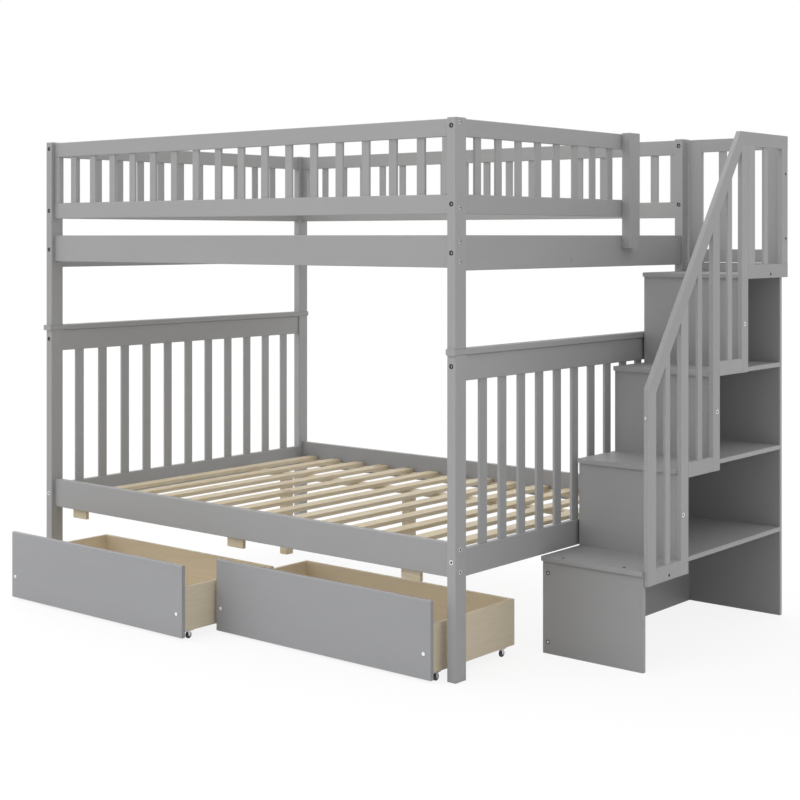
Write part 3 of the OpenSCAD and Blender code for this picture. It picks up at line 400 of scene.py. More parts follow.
def painted_wood(look, node, direction, split, rgb):
    """Satin paint over wood: grain and knots drowned in the film, lighter edges that are partly
    rubbed paint and partly a painted highlight, faint smears.
    """
    made, tree, shader, xyz, grain, luck = wood_start("Paint on", node, direction, split)
    tone = maths(tree, "MULTIPLY_ADD", grain["Tone"], 0.9,
                 maths(tree, "MULTIPLY_ADD", luck, 0.5, -0.25))
    tone = maths(tree, "MULTIPLY_ADD", grain["Rings"], -0.28 * look.grain, tone)
    tone = maths(tree, "MULTIPLY_ADD", grain["Fibres"], 0.3 * look.grain, tone, clamp=True)
    flat = blend_colour(tree, tone, scaled(rgb, 0.925), scaled(rgb, 1.065))
    drowned = maths(tree, "MULTIPLY", grain["Knots"], 0.3 * look.grain)
    knotted = blend_colour(tree, drowned, flat, scaled(rgb, 0.6))
    # Edges made lighter by the edge mask: partly paint rubbed thin, partly a painted highlight
    ins = {"Place": xyz, "Width": PAINT_EDGE, "Amount": look.edge_wear_and_highlight}
    edge_mask = place_group(tree, "Worn Edges", ins)["Mask"]
    tint = blend_colour(tree, edge_mask, knotted, look.worn_highlit_edge)
    dull = place_group(tree, "Handling", {"Place": xyz})["Dull"]
    rough = maths(tree, "MULTIPLY_ADD", dull, 0.22, maths(tree, "MULTIPLY_ADD", edge_mask, 0.2, 0.36))
    ins = {name: grain[name] for name in ("Rings", "Fibres", "Knots")}
    skin = place_group(tree, "Paint Skin", {"Place": xyz, **ins, "Grain": look.grain})["Height"]
    feed(tree, shader, tint, rough, skin, PAINT_DEPTH)
    shader.inputs["Specular IOR Level"].default_value = 0.38
    return made


def bare_pine(look, node, direction, split):
    """Planed, unfinished pine: cream early wood, amber rings, brown knots, fine fibres.

    To diffuse light it is partly a plain grey, so that it throws less colour around."""
    made, tree, shader, xyz, grain, luck = wood_start("Pine of", node, direction, split)
    share = maths(tree, "MULTIPLY_ADD", grain["Rings"], 0.42,
                  maths(tree, "MULTIPLY", grain["Tone"], 0.35))
    share = maths(tree, "MULTIPLY_ADD", luck, 0.28, maths(tree, "SUBTRACT", share, 0.1),
                  clamp=True)
    wood = blend_colour(tree, share, look.pine, look.pine_ring)
    wood = blend_colour(tree, maths(tree, "MULTIPLY", grain["Fibres"], 0.16), wood, look.pine_ring)
    wood = blend_colour(tree, maths(tree, "MULTIPLY", grain["Knots"], 0.75), wood, look.knot)
    thrown = add(tree, "LightPath").outputs["Is Diffuse Ray"]
    thrown = maths(tree, "MULTIPLY", thrown, 1 - look.spill)
    tint = blend_colour(tree, thrown, wood, PINE_THROWN)
    rough = maths(tree, "MULTIPLY_ADD", grain["Rings"], -0.12, 0.68)
    height = maths(tree, "MULTIPLY_ADD", grain["Rings"], 0.5,
                   maths(tree, "MULTIPLY", grain["Fibres"], 0.8))
    feed(tree, shader, tint, rough, height, PINE_DEPTH)
    return made


def drawer_plywood(look, node, direction, split, thin):
    """Sanded plywood: a soft figure on its faces and the plies along its rims.

    The plies are bands along the axis across the panel; thin is that axis and a ply's height."""
    made, tree, shader, xyz, grain, luck = wood_start("Plywood of", node, direction, split)
    figure = maths(tree, "MULTIPLY_ADD", grain["Rings"], 0.22,
                   maths(tree, "MULTIPLY", grain["Tone"], 0.55))
    figure = maths(tree, "MULTIPLY_ADD", luck, 0.2, figure, clamp=True)
    face = blend_colour(tree, figure, look.plywood, look.plywood_figure)
    axis, ply = AXES.index(thin[0]), thin[1]
    across = add(tree, "SeparateXYZ", {0: xyz}).outputs[axis]
    bands = maths(tree, "SINE", maths(tree, "MULTIPLY", across, math.pi / ply))
    normal = add(tree, "TexCoord").outputs["Normal"]
    outward = add(tree, "SeparateXYZ", {0: normal}).outputs[axis]
    rim = maths(tree, "LESS_THAN", maths(tree, "ABSOLUTE", outward), 0.5)
    lines = maths(tree, "MULTIPLY", ramp(tree, bands, 0.1, 0.6), rim)
    tint = blend_colour(tree, maths(tree, "MULTIPLY", lines, 0.5), face, look.glue_line)
    rough = maths(tree, "MULTIPLY_ADD", grain["Tone"], 0.16, 0.5)
    height = maths(tree, "MULTIPLY_ADD", lines, -0.6,
                   maths(tree, "MULTIPLY", grain["Fibres"], 0.7))
    feed(tree, shader, tint, rough, height, PLYWOOD_DEPTH)
    return made


def plated_metal(name, rgb, roughness):
    """Plated steel with a fine uneven sheen."""
    made, tree, shader = new_material(name)
    xyz = add(tree, "TexCoord").outputs["Object"]
    cloud = noise(tree, xyz, (180, 180, 180), 4.0, 0.7).outputs[0]
    tint = blend_colour(tree, cloud, scaled(rgb, 0.86), scaled(rgb, 1.1))
    dull = place_group(tree, "Handling", {"Place": xyz})["Dull"]
    rough = maths(tree, "MULTIPLY_ADD", dull, 0.25, roughness)
    feed(tree, shader, tint, rough, cloud, PLATE_DEPTH)
    shader.inputs["Metallic"].default_value = 1.0
    return made


def coated_metal(name, rgb):
    """Blackened steel: a dark, faintly uneven coat, half dull. It also gives the painted shade of
    the bolts' dark flanges and socket cups and of the rings round the riser screws.
    """
    made, tree, shader = new_material(name)
    xyz = add(tree, "TexCoord").outputs["Object"]
    cloud = noise(tree, xyz, (260, 260, 260), 3.0, 0.6).outputs[0]
    tint = blend_colour(tree, cloud, scaled(rgb, 0.7), scaled(rgb, 1.6))
    dull = place_group(tree, "Handling", {"Place": xyz})["Dull"]
    rough = maths(tree, "MULTIPLY_ADD", dull, 0.2, 0.42)
    feed(tree, shader, tint, rough, cloud, COAT_DEPTH)
    shader.inputs["Specular IOR Level"].default_value = 0.3
    return made


def moulded_plastic(name, rgb):
    """Matt moulded plastic with a fine skin and dusty edges."""
    made, tree, shader = new_material(name)
    xyz = add(tree, "TexCoord").outputs["Object"]
    skin = noise(tree, xyz, (1400, 1400, 1400), 2.0).outputs[0]
    dull = place_group(tree, "Handling", {"Place": xyz})["Dull"]
    ins = {"Place": xyz, "Width": MOULD_EDGE, "Amount": 0.5}
    edge_mask = place_group(tree, "Worn Edges", ins)["Mask"]
    dusty = maths(tree, "MULTIPLY_ADD", edge_mask, 0.5, maths(tree, "MULTIPLY", dull, 0.2))
    rough = maths(tree, "MULTIPLY_ADD", dull, 0.3, 0.35)
    feed(tree, shader, blend_colour(tree, dusty, rgb, DUST), rough, skin, MOULD_DEPTH)
    return made


def shared(name, maker, *given):
    """A material by its name, made the first time."""
    return bpy.data.materials.get(name) or maker(name, *given)


def metal(look, name):
    """One of the plated metals or, by any other name, blackened steel."""
    if name in PLATED:
        tint, roughness = PLATED[name]
        return shared(name, plated_metal, getattr(look, tint), roughness)
    return shared(name, coated_metal, look.blackened)


def dress(node, material):
    """Gives a CAD node its material."""
    mesh = NODES[node].data
    mesh.materials.clear()
    mesh.materials.append(material)


# Surfaces worked out with numpy

def shell_faces(rows, spokes):
    """Faces of a closed shell: two poles first, then rows of spokes, fans at both poles."""
    here = np.arange(spokes)
    after = (here + 1) % spokes
    first = 2
    top = np.stack([np.zeros(spokes, int), first + here, first + after], axis=1)
    last = first + (rows - 1) * spokes
    base = np.stack([np.ones(spokes, int), last + after, last + here], axis=1)
    row = first + np.arange(rows - 1)[:, None] * spokes
    quads = np.stack([row + here, row + spokes + here, row + spokes + after, row + after], axis=-1)
    return [*top.tolist(), *quads.reshape(-1, 4).tolist(), *base.tolist()]


def soft_band(value, edge, blur):
    """1 between -edge and edge and 0 past them, in a logistic step of the given blur."""
    return 1 / (1 + np.exp((np.abs(value) - edge) / blur))


def screw_head(diameter, dome, rim, rings=9, spokes=32, recess=True):
    """Closed shell of a screw head round +Z, its seat at height 0.

    The top is a paraboloid, rim + dome * (1 - r^2), pressed in along a cross whose arms are soft
    bands in x and in y; the side drops to one rim below the seat and the base closes it."""
    radius = diameter / 2
    share = np.linspace(0, 1, rings)
    r = np.concatenate([share, [1.0, 0.0]]) * radius
    z = np.concatenate([rim + dome * (1 - share ** 2), [-rim, -rim]])
    angle = np.linspace(0, 2 * np.pi, spokes, endpoint=False)
    x, y = r[:, None] * np.cos(angle), r[:, None] * np.sin(angle)
    height = np.repeat(z[:, None], spokes, axis=1)
    if recess:
        reach, width, blur = 0.62 * radius, 0.15 * radius, 0.04 * radius
        cross = np.maximum(soft_band(x, width, blur) * soft_band(y, reach, blur),
                           soft_band(y, width, blur) * soft_band(x, reach, blur))
        top = np.arange(len(r))[:, None] < rings
        height = height - np.where(top, cross * (0.5 * dome + 0.7 * rim), 0)
    points = np.stack([x, y, height], axis=-1)
    poles = np.array([points[0].mean(0), points[-1].mean(0)])
    return np.concatenate([poles, points[1:-1].reshape(-1, 3)]), shell_faces(len(r) - 2, spokes)


def collar_ring(outer, inner, thick, spokes=28, around=8):
    """Flattened torus round +Z, its outer face at height 0: radius m + a cos t, height
    b (sin t - 1), where m and a are the half sum and half difference of the radii and b is half
    the thickness."""
    turn = np.linspace(0, 2 * np.pi, spokes, endpoint=False)[:, None]
    t = np.linspace(0, 2 * np.pi, around, endpoint=False)[None, :]
    r = (outer + inner) / 4 + (outer - inner) / 4 * np.cos(t)
    z = np.broadcast_to(thick / 2 * (np.sin(t) - 1), (spokes, around))
    points = np.stack([r * np.cos(turn), r * np.sin(turn), z], axis=-1)
    i, j = np.meshgrid(np.arange(spokes), np.arange(around), indexing="ij")
    here, after, up = i * around, (i + 1) % spokes * around, (j + 1) % around
    quads = np.stack([here + j, after + j, after + up, here + up], axis=-1)
    return points.reshape(-1, 3), quads.reshape(-1, 4).tolist()


def socket_cup(width, depth, rings=5):
    """Hexagonal cup open towards +Z, closed behind: its radius is the 0.35th power of the height
    over its floor, so the floor is flat and the wall steep; its back is the same form, a little
    larger."""
    share = np.linspace(0, 1, rings)
    inner = np.stack([share ** 0.35, share - 1], axis=1) * (width / 2 * 0.97, depth)
    back = inner[::-1] * (1.02, 1.0) + (0, -0.04 * depth)
    profile = np.concatenate([inner, back])
    angle = np.arange(6) * np.pi / 3
    r, z = profile[:, 0], profile[:, 1]
    points = np.stack([r[:, None] * np.cos(angle), r[:, None] * np.sin(angle),
                       np.repeat(z[:, None], 6, axis=1)], axis=-1)
    poles = np.array([points[0].mean(0), points[-1].mean(0)])
    return np.concatenate([poles, points[1:-1].reshape(-1, 3)]), shell_faces(len(r) - 2, 6)


def strip(span, width, height, spokes=24):
    """Closed strip along X, middle at 0: a section y = w/2 sgn(cos t)|cos t|^(1/3),
    z = h/2 sgn(sin t)|sin t|^(1/3) swept along its span, drawn in a little at both ends."""
    t = np.linspace(0, 2 * np.pi, spokes, endpoint=False)
    section = np.stack([width / 2 * np.cbrt(np.cos(t)), height / 2 * np.cbrt(np.sin(t))], axis=-1)
    along = np.array([0.5, 0.499, -0.499, -0.5]) * span
    drawn = np.array([0.94, 1.0, 1.0, 0.94])[:, None]
    rows = np.stack([np.repeat(along[:, None], spokes, axis=1), drawn * section[:, 0],
                     drawn * section[:, 1]], axis=-1).reshape(-1, 3)
    poles = np.array([[along[0], 0, 0], [along[-1], 0, 0]])
    return np.concatenate([poles, rows]), shell_faces(len(along), spokes)


def frame_along(normal, spin):
    """Turn that brings +Z to a normal, after a spin round it, as a 3x3 array."""
    z = np.array(normal, float) / np.linalg.norm(normal)
    helper = np.array([0, 0, 1.0]) if abs(z[2]) < 0.9 else np.array([1.0, 0, 0])
    x = np.cross(helper, z)
    x /= np.linalg.norm(x)
    y = np.cross(z, x)
    c, s = math.cos(spin), math.sin(spin)
    return np.stack([x * c + y * s, -x * s + y * c, z], axis=1)


def many(shell, places):
    """Copies of a shell at places: (point, normal, spin)."""
    points, faces = shell
    all_points, all_faces = [], []
    for i, (point, normal, spin) in enumerate(places):
        all_points.append(points @ frame_along(normal, spin).T + np.array(point, float))
        all_faces += [[v + i * len(points) for v in f] for f in faces]
    return np.concatenate(all_points), all_faces


def shifted(places, way):
    """Points and normals moved along the normals, each with a spin of its own."""
    return [(tuple(p + n * way for p, n in zip(point, normal)), normal, 0.7 * i)
            for i, (point, normal) in enumerate(places)]


def new_piece(name, points, faces, material, body, slot):
    """Mesh object in the part's frame that rides on a body, with smooth faces and its finish."""
    mesh = bpy.data.meshes.new(name)
    mesh.from_pydata(points, [], faces)
    mesh.polygons.foreach_set("use_smooth", np.ones(len(mesh.polygons), bool))
    mesh.update()
    mesh.materials.append(material)
    piece = bpy.data.objects.new(name, mesh)
    bpy.context.scene.collection.objects.link(piece)
    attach(piece, body)


# Nodes and their boards: the way the grain runs, and how the boards are told apart

BED = "bed_and_stair"
PAINTED = {
    "lower_left_posts": ("Z", ("Y", 2)),
    "lower_right_posts": ("Z", ("Y", 2)),
    "upper_left_posts": ("Z", ("Y", 2)),
    "upper_right_posts": ("Z", ("Y", 2)),
    "panel_caps": ("Y", ("X", 2)),
    "left_panel_rails": ("Y", ("Z", 2)),
    "right_panel_rails": ("Y", ("Z", 2)),
    "left_panel_slats": ("Z", ("Y", 11)),
    "right_panel_slats": ("Z", ("Y", 12)),
    "lower_front_rail": ("X", None),
    "lower_rear_rail": ("X", None),
    "upper_front_rail": ("X", None),
    "upper_rear_rail": ("X", None),
    "upper_end_rails": ("Y", ("X", 2)),
    "front_guard_rails": ("X", ("Z", 2)),
    "rear_guard_rails": ("X", ("Z", 2)),
    "left_guard_rails": ("Y", ("Z", 2)),
    "right_guard_rails": ("Y", ("Z", 2)),
    "front_guard_slats": ("Z", ("X", 18)),
    "rear_guard_slats": ("Z", ("X", 18)),
    "left_guard_slats": ("Z", ("Y", 12)),
    "right_guard_slats": ("Z", ("Y", 8)),
    "entry_stile": ("Z", None),
    "stair_side": ("Z", None),
    "stair_rear": ("Z", None),
    "stair_risers": ("X", ("Y", 0.33, 0.21)),
    "stair_treads": ("X", ("Z", 0.15, 0.3)),
    "handrail_posts": ("Z", ("Y", 0.353, 0.2)),
    "handrail_foot_rails": ("Y or X", ("Z", 0.15, 0.3)),
    "handrail_slats": ("Z", ("Y", 0.353, 0.2)),
    "handrail_climb": ("climb", None),
    "handrail_top_rails": ("Y or X", None),
    "landing_guard": ("Z or X", ("X", 0.003, 0.1)),
}
PINE = {
    "lower_ledgers": ("X", ("Y", 2)),
    "upper_ledgers": ("X", ("Y", 2)),
    "lower_deck_slats": ("Y", ("X", 14)),
    "upper_deck_slats": ("Y", ("X", 14)),
    "support_beam": ("X", None),
    "upper_beam": ("X", None),
    "beam_legs": ("Z", ("X", 2)),
    "rail_blocks": ("X", ("X", 3)),
}
DRAWERS = ("left_drawer", "right_drawer")
WHEELS = range(1, 5)
PLY = 0.0016
# The drawer box's panels also have the axis across them and their plies' thickness
DRAWER_BOX = {
    "sides": ("Y", ("X", 2), ("X", PLY)),
    "ends": ("X", ("Y", 2), ("Y", PLY)),
    "bottom": ("X", None, ("Z", PLY)),
}


class BUNK_OT_painted_boards(Operator):
    """Paints the frame, the guards, the stair and the handrail."""

    bl_idname = "bunk.painted_boards"
    bl_label = "Painted boards"

    def execute(self, context):
        look = context.scene.bunk_finishes
        for node, (direction, split) in PAINTED.items():
            dress(node, painted_wood(look, node, direction, split, look.paint))
        return {"FINISHED"}


class BUNK_OT_pine_boards(Operator):
    """Gives the deck slats, ledgers, beams, legs and blocks bare pine."""

    bl_idname = "bunk.pine_boards"
    bl_label = "Pine boards"

    def execute(self, context):
        for node, (direction, split) in PINE.items():
            dress(node, bare_pine(context.scene.bunk_finishes, node, direction, split))
        return {"FINISHED"}


class BUNK_OT_drawers(Operator):
    """Finishes the drawers' painted fronts and plywood boxes."""

    bl_idname = "bunk.drawers"
    bl_label = "Drawers"

    def execute(self, context):
        look = context.scene.bunk_finishes
        for drawer in DRAWERS:
            node = drawer + "_front"
            dress(node, painted_wood(look, node, "X", None, look.drawer_paint))
            for part, (direction, split, thin) in DRAWER_BOX.items():
                node = drawer + "_" + part
                dress(node, drawer_plywood(look, node, direction, split, thin))
        return {"FINISHED"}


class BUNK_OT_casters(Operator):
    """Finishes the casters' zinc brackets and their black wheels."""

    bl_idname = "bunk.casters"
    bl_label = "Casters"

    def execute(self, context):
        look = context.scene.bunk_finishes
        bracket = metal(look, "Zinc Plate")
        wheel = shared("Wheel Plastic", moulded_plastic, look.wheels)
        for drawer in DRAWERS:
            dress(drawer + "_casters", bracket)
            for i in WHEELS:
                dress(f"{drawer}_wheel_{i}", wheel)
        return {"FINISHED"}


class BUNK_OT_bolts(Operator):
    """Finishes the bolts, insert nuts and pins."""

    bl_idname = "bunk.bolts"
    bl_label = "Bolts and pins"

    def execute(self, context):
        dress("bolts_and_pins", metal(context.scene.bunk_finishes, "Bolt Steel"))
        return {"FINISHED"}


# Bolts in the posts' front and rear faces and in their outer sides, from the foot up
END_LEVELS = (0.366, 0.963, 1.3085, 1.458, 1.6975)
SIDE_LEVELS = (0.335, 0.403, 1.282, 1.344, 1.447, 1.7085)
SIDE_BOLT_IN = 0.024
POSTS_MEET = 1.0
POST_TOP = 2.0
GUARD_FOOT = 1.40
# Above this height the bolts get dark flanges, painted shade of their counterbores
SHADED_FLANGES_FROM = 0.90
# The spare bolts in the front face of the post at the entry, and the handrail's, as Y and Z
POST_DEPTH = 0.054
ENTRY_LEVELS = (1.478, 1.6975)
STAIR_BOLTS = ((0.657, 0.463), (0.884, 0.775), (1.081, 1.059))
HEAD_SINK = 0.001
SOCKET_DEPTH = 0.0024


def bolt_places():
    """Point on the wood's face and outward normal of every bolt: those with dark flanges, which
    are painted shade of their counterbores, those with bright ones, those with none and those
    under painted caps."""
    dark, bright, bare, capped = [], [], [], []
    for post, bottom, top in (("lower", 0, POSTS_MEET), ("upper", POSTS_MEET, POST_TOP)):
        for side, out in (("left", -1), ("right", 1)):
            low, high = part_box(f"{post}_{side}_posts")
            middle = (low.x + high.x) / 2
            face = low.x if out < 0 else high.x
            for y, inward in ((low.y, 1), (high.y, -1)):
                at_entry = inward < 0 < out and post == "upper"
                for z in END_LEVELS:
                    if bottom < z < top and not (at_entry and z > GUARD_FOOT):
                        chosen = dark if z > SHADED_FLANGES_FROM else bright
                        chosen.append(((middle, y, z), (0, -inward, 0)))
                chosen = capped if at_entry else bare if post == "upper" else bright
                chosen += [((face, y + inward * SIDE_BOLT_IN, z), (out, 0, 0))
                           for z in SIDE_LEVELS if bottom < z < top]
    low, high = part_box("upper_right_posts")
    middle, front = (low.x + high.x) / 2, high.y - POST_DEPTH
    dark += [((middle, front, z), (0, -1, 0)) for z in ENTRY_LEVELS]
    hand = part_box("handrail_posts")[1].x
    bright += [((hand, y, z), (1, 0, 0)) for y, z in STAIR_BOLTS]
    return dark, bright, bare, capped


class BUNK_OT_bolt_faces(Operator):
    """Adds the flanges of the bolts, the dark ones painted shade of their counterbores, black hex
    cups in the bright ones' sockets that paint the shade inside them, and painted caps.
    """

    bl_idname = "bunk.bolt_faces"
    bl_label = "Bolt faces"

    def execute(self, context):
        screws, look = context.scene.bunk_screws, context.scene.bunk_finishes
        black, chrome = metal(look, "Blackened Steel"), metal(look, "Chrome")
        dark, bright, bare, capped = bolt_places()
        ring = collar_ring(screws.flange, screws.flange_hole, screws.flange_thick)
        for name, places, finish in (("dark_flanges", dark, black),
                                     ("bright_flanges", bright, chrome)):
            rings = many(ring, shifted(places, screws.flange_thick))
            new_piece(name, *rings, finish, BED, "steel")
        # Black cups in the sockets paint the shade inside them
        cups = many(socket_cup(screws.socket, SOCKET_DEPTH), shifted(bright + bare, -HEAD_SINK))
        new_piece("bolt_sockets", *cups, black, BED, "steel")
        cap = screw_head(screws.flange, 0.0006, 0.0003, rings=5, spokes=24, recess=False)
        grey = shared("Cap Plastic", moulded_plastic, look.paint)
        new_piece("bolt_caps", *many(cap, shifted(capped, 0)), grey, BED, "grey_paint")
        return {"FINISHED"}


# Start, end and top of the landing's kick board, and the height of its lip
KICK_BOARD = (2.0515, 2.3145, 1.2585)
KICK_LIP = 0.004
# Lower edge of the upper bed's left end rail, its thickness, and how far the strip goes inside
RAIL_FOOT = 1.240
RAIL_THICK = 0.020
FOOT_OVERLAP = 0.006
FOOT_INSET = 0.0001


def painted_strip(name, beside, points, faces, middle):
    """A strip with the paint of the node beside it, brought to its middle."""
    paint = NODES[beside].data.materials[0]
    new_piece(name, points + np.array(middle), faces, paint, BED, "grey_paint")


class BUNK_OT_kick_lip(Operator):
    """Adds the lip that narrows the slot over the landing's kick board."""

    bl_idname = "bunk.kick_lip"
    bl_label = "Kick board lip"

    def execute(self, context):
        low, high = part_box("landing_guard")
        start, end, level = KICK_BOARD
        points, faces = strip(end - start, high.y - low.y, KICK_LIP)
        middle = [(start + end) / 2, (low.y + high.y) / 2, level + KICK_LIP / 2]
        painted_strip("kick_board_lip", "landing_guard", points, faces, middle)
        return {"FINISHED"}


class BUNK_OT_rail_foot(Operator):
    """Adds the lower edge of the upper bed's left end rail, which hangs below the front rail."""

    bl_idname = "bunk.rail_foot"
    bl_label = "Left rail foot"

    def execute(self, context):
        low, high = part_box("upper_end_rails")
        top = low.z + FOOT_OVERLAP
        points, faces = strip(high.y - low.y, RAIL_THICK - 2 * FOOT_INSET, top - RAIL_FOOT)
        turned = points[:, [1, 0, 2]] * (-1, 1, 1)
        middle = [low.x + RAIL_THICK / 2, (low.y + high.y) / 2, (top + RAIL_FOOT) / 2]
        painted_strip("left_rail_foot", "upper_end_rails", turned, faces, middle)
        return {"FINISHED"}


# How far the drawer fronts' screws lie from the left and right ends, and their crosses' spins
FRONT_SCREW_SIDE = (0.019, 0.028)
FRONT_SCREW_SPIN = (0.4, 1.1)


class BUNK_OT_drawer_screws(Operator):
    """Adds the chromed screws of both drawer fronts."""

    bl_idname = "bunk.drawer_screws"
    bl_label = "Drawer screws"

    def execute(self, context):
        screws = context.scene.bunk_screws
        chrome = metal(context.scene.bunk_finishes, "Chrome")
        shell = screw_head(screws.front_head, 0.0018, 0.0008)
        for drawer in DRAWERS:
            low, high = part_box(drawer + "_front")
            ends = low.x + FRONT_SCREW_SIDE[0], high.x - FRONT_SCREW_SIDE[1]
            places = [((x, low.y, screws.front_height), (0, -1, 0), spin)
                      for x, spin in zip(ends, FRONT_SCREW_SPIN)]
            new_piece(drawer + "_screws", *many(shell, places), chrome, drawer, "steel")
        return {"FINISHED"}


# Small screws: their place on the face and their cross's spin, on the riser as X and Z, on the
# handrail as Y and Z, on the first tread as X and Y
RISER_SCREWS = ((2.011, 0.262, 0.2), (2.011, 0.038, 0.9))
BRIGHT_HANDRAIL_SCREWS = ((0.420, 0.796, 0.6),)
DARK_HANDRAIL_SCREWS = ((0.567, 0.285, 0.5), (1.277, 1.226, 0.1), (1.396, 1.583, 0.7),
                        (1.396, 1.352, 1.3))
TREAD_SCREWS = ((2.066, 0.441, 0.3), (2.290, 0.448, 1.2))
FIRST_TREAD = 0.317
# Width of the dark ring round each riser screw, painted shade round its head
RISER_SHADE_RING = 0.0045
RING_THICK = 0.0008


class BUNK_OT_stair_screws(Operator):
    """Adds the small screws of the stair, its handrail and its landing guard, and dark rings round
    the riser screws that are painted shade round their heads.
    """

    bl_idname = "bunk.stair_screws"
    bl_label = "Stair screws"

    def execute(self, context):
        screws, look = context.scene.bunk_screws, context.scene.bunk_finishes
        front, out, up = (0, -1, 0), (1, 0, 0), (0, 0, 1)
        riser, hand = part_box("stair_risers")[0].y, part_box("handrail_posts")[1].x
        bright = [((x, riser, z), front, spin) for x, z, spin in RISER_SCREWS]
        rings = [((x, riser - RING_THICK, z), front, spin) for x, z, spin in RISER_SCREWS]
        bright += [((hand, y, z), out, spin) for y, z, spin in BRIGHT_HANDRAIL_SCREWS]
        dark = [((hand, y, z), out, spin) for y, z, spin in DARK_HANDRAIL_SCREWS]
        dark += [((x, y, FIRST_TREAD), up, spin) for x, y, spin in TREAD_SCREWS]
        shell = screw_head(screws.small_head, 0.0007, 0.0003)
        steel, black = metal(look, "Bolt Steel"), metal(look, "Blackened Steel")
        new_piece("stair_screws", *many(shell, bright), steel, BED, "steel")
        new_piece("handrail_screws", *many(shell, dark), black, BED, "steel")
        head = screws.small_head
        # Painted shade round the riser screws' heads
        ring = collar_ring(head + RISER_SHADE_RING, head - RISER_SHADE_RING / 3, RING_THICK)
        new_piece("riser_screw_rings", *many(ring, rings), black, BED, "steel")
        return {"FINISHED"}


SLAT_WIDTH = 0.054
LEDGER_MIDDLE = 0.009


class BUNK_OT_slat_screws(Operator):
    """Adds the screws that hold the deck slats' ends to the ledgers."""

    bl_idname = "bunk.slat_screws"
    bl_label = "Slat screws"

    def execute(self, context):
        screws = context.scene.bunk_screws
        shell = screw_head(screws.slat_head, 0.0003, 0.0002, rings=4, spokes=10, recess=False)
        steel = metal(context.scene.bunk_finishes, "Bolt Steel")
        for deck in ("lower", "upper"):
            node = deck + "_deck_slats"
            count = PINE[node][1][1]
            low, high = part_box(node)
            middles = np.linspace(low.x + SLAT_WIDTH / 2, high.x - SLAT_WIDTH / 2, count)
            places = [((x, y, high.z), (0, 0, 1), 0.0) for x in middles
                      for y in (low.y + LEDGER_MIDDLE, high.y - LEDGER_MIDDLE)]
            new_piece(deck + "_slat_screws", *many(shell, places), steel, BED, "steel")
        return {"FINISHED"}


FLOOR_RINGS = (2.0, 5.0, 14.0, 40.0, 120.0)


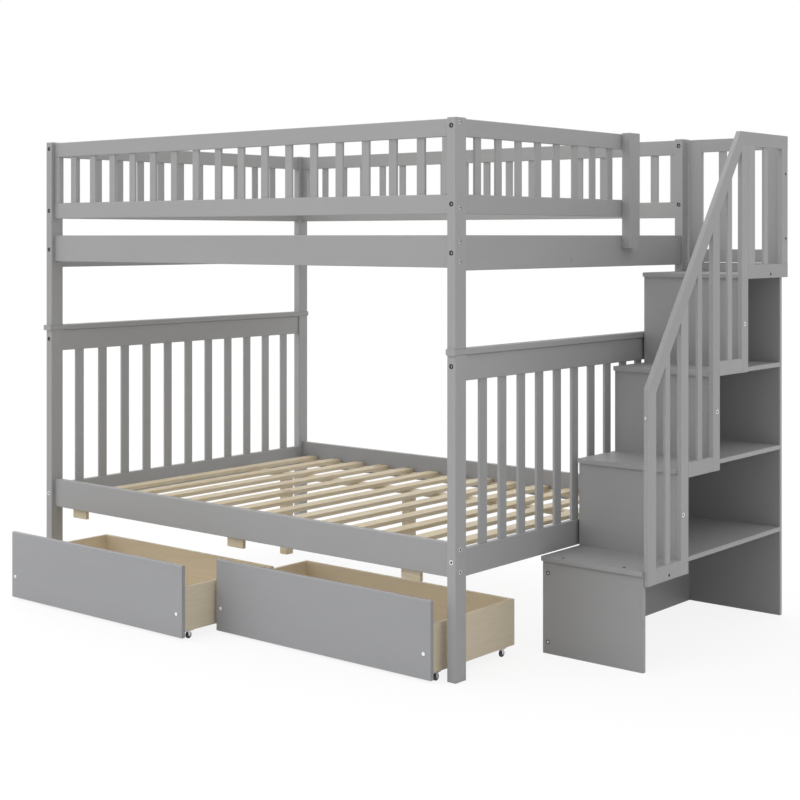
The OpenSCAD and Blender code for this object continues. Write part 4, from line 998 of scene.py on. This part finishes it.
class BUNK_OT_stage(Operator):
    """Sets the floor, the white surroundings, the lamp and the camera."""

    bl_idname = "bunk.stage"
    bl_label = "Stage and camera"

    def execute(self, context):
        stage = context.scene.bunk_stage
        self.floor(stage)
        self.world(context.scene, stage)
        self.lamp(stage)
        self.camera(context.scene, stage)
        context.scene.view_settings.view_transform = "Standard"
        return {"FINISHED"}

    def floor(self, stage):
        """Disc on the floor: rings of growing radius round the bed's middle, almost white where
        it is seen, save for a faint shadow."""
        middle = (cad_box[0] + cad_box[1]) / 2
        radius = np.array(FLOOR_RINGS)[:, None]
        angle = np.linspace(0, 2 * np.pi, stage.sides, endpoint=False)
        flat = np.stack([middle.x + radius * np.cos(angle), middle.y + radius * np.sin(angle),
                         np.zeros((len(radius), stage.sides))], axis=-1).reshape(-1, 3)
        points = np.concatenate([[[middle.x, middle.y, 0]], flat])
        here = np.arange(stage.sides)
        after = (here + 1) % stage.sides
        fan = np.stack([np.zeros(stage.sides, int), 1 + here, 1 + after], axis=1).tolist()
        row = 1 + np.arange(len(radius) - 1)[:, None] * stage.sides
        quads = np.stack([row + here, row + stage.sides + here, row + stage.sides + after,
                          row + after], axis=-1)
        mesh = bpy.data.meshes.new("Floor")
        mesh.from_pydata(points, [], fan + quads.reshape(-1, 4).tolist())
        mesh.materials.append(self.floor_material(stage))
        floor = bpy.data.objects.new("Floor", mesh)
        bpy.context.scene.collection.objects.link(floor)

    def floor_material(self, stage):
        """Matt white that throws only a share of its light back up, mixed with plain white where
        it is seen."""
        material, tree, shader = new_material("Floor White")
        seen = self.seen(tree)
        thrown = scaled(stage.floor, stage.floor_bounce)
        tree.links.new(blend_colour(tree, seen, thrown, stage.floor), shader.inputs["Base Color"])
        shader.inputs["Roughness"].default_value = 0.9
        shader.inputs["Specular IOR Level"].default_value = 0.1
        white = add(tree, "Emission", {"Color": (1, 1, 1, 1), "Strength": 1.0})
        share = maths(tree, "MULTIPLY", seen, stage.floor_white)
        mixed = add(tree, "MixShader", {0: share, 1: shader.outputs[0], 2: white.outputs[0]})
        out = next(n for n in tree.nodes if n.type == "OUTPUT_MATERIAL")
        tree.links.new(mixed.outputs[0], out.inputs["Surface"])
        return material

    def seen(self, tree):
        """1 for rays that show the surroundings: from the camera, by gloss or through glass."""
        path = add(tree, "LightPath").outputs
        either = maths(tree, "MAXIMUM", path["Is Camera Ray"], path["Is Glossy Ray"])
        return maths(tree, "MAXIMUM", either, path["Is Transmission Ray"])

    def world(self, scene, stage):
        """White where it is seen; for diffuse light four broad soft boxes, each as strong as the
        cosine of the angle to its middle."""
        world = bpy.data.worlds.new("Surroundings")
        world.use_nodes = True
        tree = world.node_tree
        tree.nodes.clear()
        way = add(tree, "SeparateXYZ", {0: add(tree, "TexCoord").outputs["Generated"]}).outputs
        soft = 0.0
        for axis, sign, strength in ((0, -1, stage.left), (0, 1, stage.right),
                                     (1, 1, stage.behind), (2, 1, stage.above)):
            cosine = maths(tree, "MAXIMUM", maths(tree, "MULTIPLY", way[axis], sign), 0.0)
            soft = maths(tree, "MULTIPLY_ADD", cosine, strength, soft)
        ins = {0: self.seen(tree), 2: soft, 3: 1.0}
        strength = add(tree, "Mix", ins, data_type="FLOAT").outputs[0]
        dome = add(tree, "Background", {"Color": (1, 1, 1, 1), "Strength": strength})
        add(tree, "OutputWorld", {"Surface": dome.outputs[0]})
        scene.world = world

    def lamp(self, stage):
        """Broad soft sun from the upper front, a little to the left."""
        data = bpy.data.lights.new("Key", "SUN")
        data.energy = stage.key
        data.angle = stage.key_spread
        lamp = bpy.data.objects.new("Key", data)
        lamp.rotation_euler = (stage.key_tilt, 0, stage.key_turn)
        bpy.context.scene.collection.objects.link(lamp)

    def camera(self, scene, stage):
        """Level camera at the photograph's viewpoint, shifted down to its framing."""
        data = bpy.data.cameras.new("Camera")
        data.sensor_width = 36.0
        data.lens = stage.focal * data.sensor_width / PHOTO_SIDE
        data.shift_y = (stage.horizon - PHOTO_SIDE / 2) / PHOTO_SIDE
        data.clip_start, data.clip_end = 0.05, 200.0
        camera = bpy.data.objects.new("Camera", data)
        camera.location = stage.camera_place
        camera.rotation_euler = (math.pi / 2, 0, stage.turn)
        scene.collection.objects.link(camera)
        scene.camera = camera


class BUNK_PT_panel(Panel):
    """Sidebar panel that lists the steps and the settings."""

    bl_label = "Bunk Bed"
    bl_idname = "BUNK_PT_panel"
    bl_space_type = "VIEW_3D"
    bl_region_type = "UI"
    bl_category = "Bunk Bed"

    def draw(self, context):
        for step in STEPS:
            self.layout.operator(step.bl_idname)
        for settings in SETTINGS:
            group = getattr(context.scene, settings)
            for name in group.bl_rna.properties.keys():
                if name not in ("rna_type", "name"):
                    self.layout.prop(group, name)


SETTINGS = {"bunk_finishes": BunkFinishes, "bunk_screws": BunkScrews, "bunk_stage": BunkStage}
STEPS = (BUNK_OT_stage, BUNK_OT_painted_boards, BUNK_OT_pine_boards, BUNK_OT_drawers,
         BUNK_OT_casters, BUNK_OT_bolts, BUNK_OT_bolt_faces, BUNK_OT_kick_lip, BUNK_OT_rail_foot,
         BUNK_OT_drawer_screws, BUNK_OT_stair_screws, BUNK_OT_slat_screws)


def register():
    """Adds the settings, the steps and the panel."""
    for name, kind in SETTINGS.items():
        bpy.utils.register_class(kind)
        setattr(bpy.types.Scene, name, PointerProperty(type=kind))
    for kind in (*STEPS, BUNK_PT_panel):
        bpy.utils.register_class(kind)


def unregister():
    """Takes the panel, the steps and the settings away."""
    for kind in (BUNK_PT_panel, *reversed(STEPS)):
        bpy.utils.unregister_class(kind)
    for name, kind in SETTINGS.items():
        delattr(bpy.types.Scene, name)
        bpy.utils.unregister_class(kind)


def main():
    """Runs the steps in order."""
    register()
    for step in STEPS:
        group, name = step.bl_idname.split(".")
        getattr(getattr(bpy.ops, group), name)()


if __name__ == "__main__":
    main()
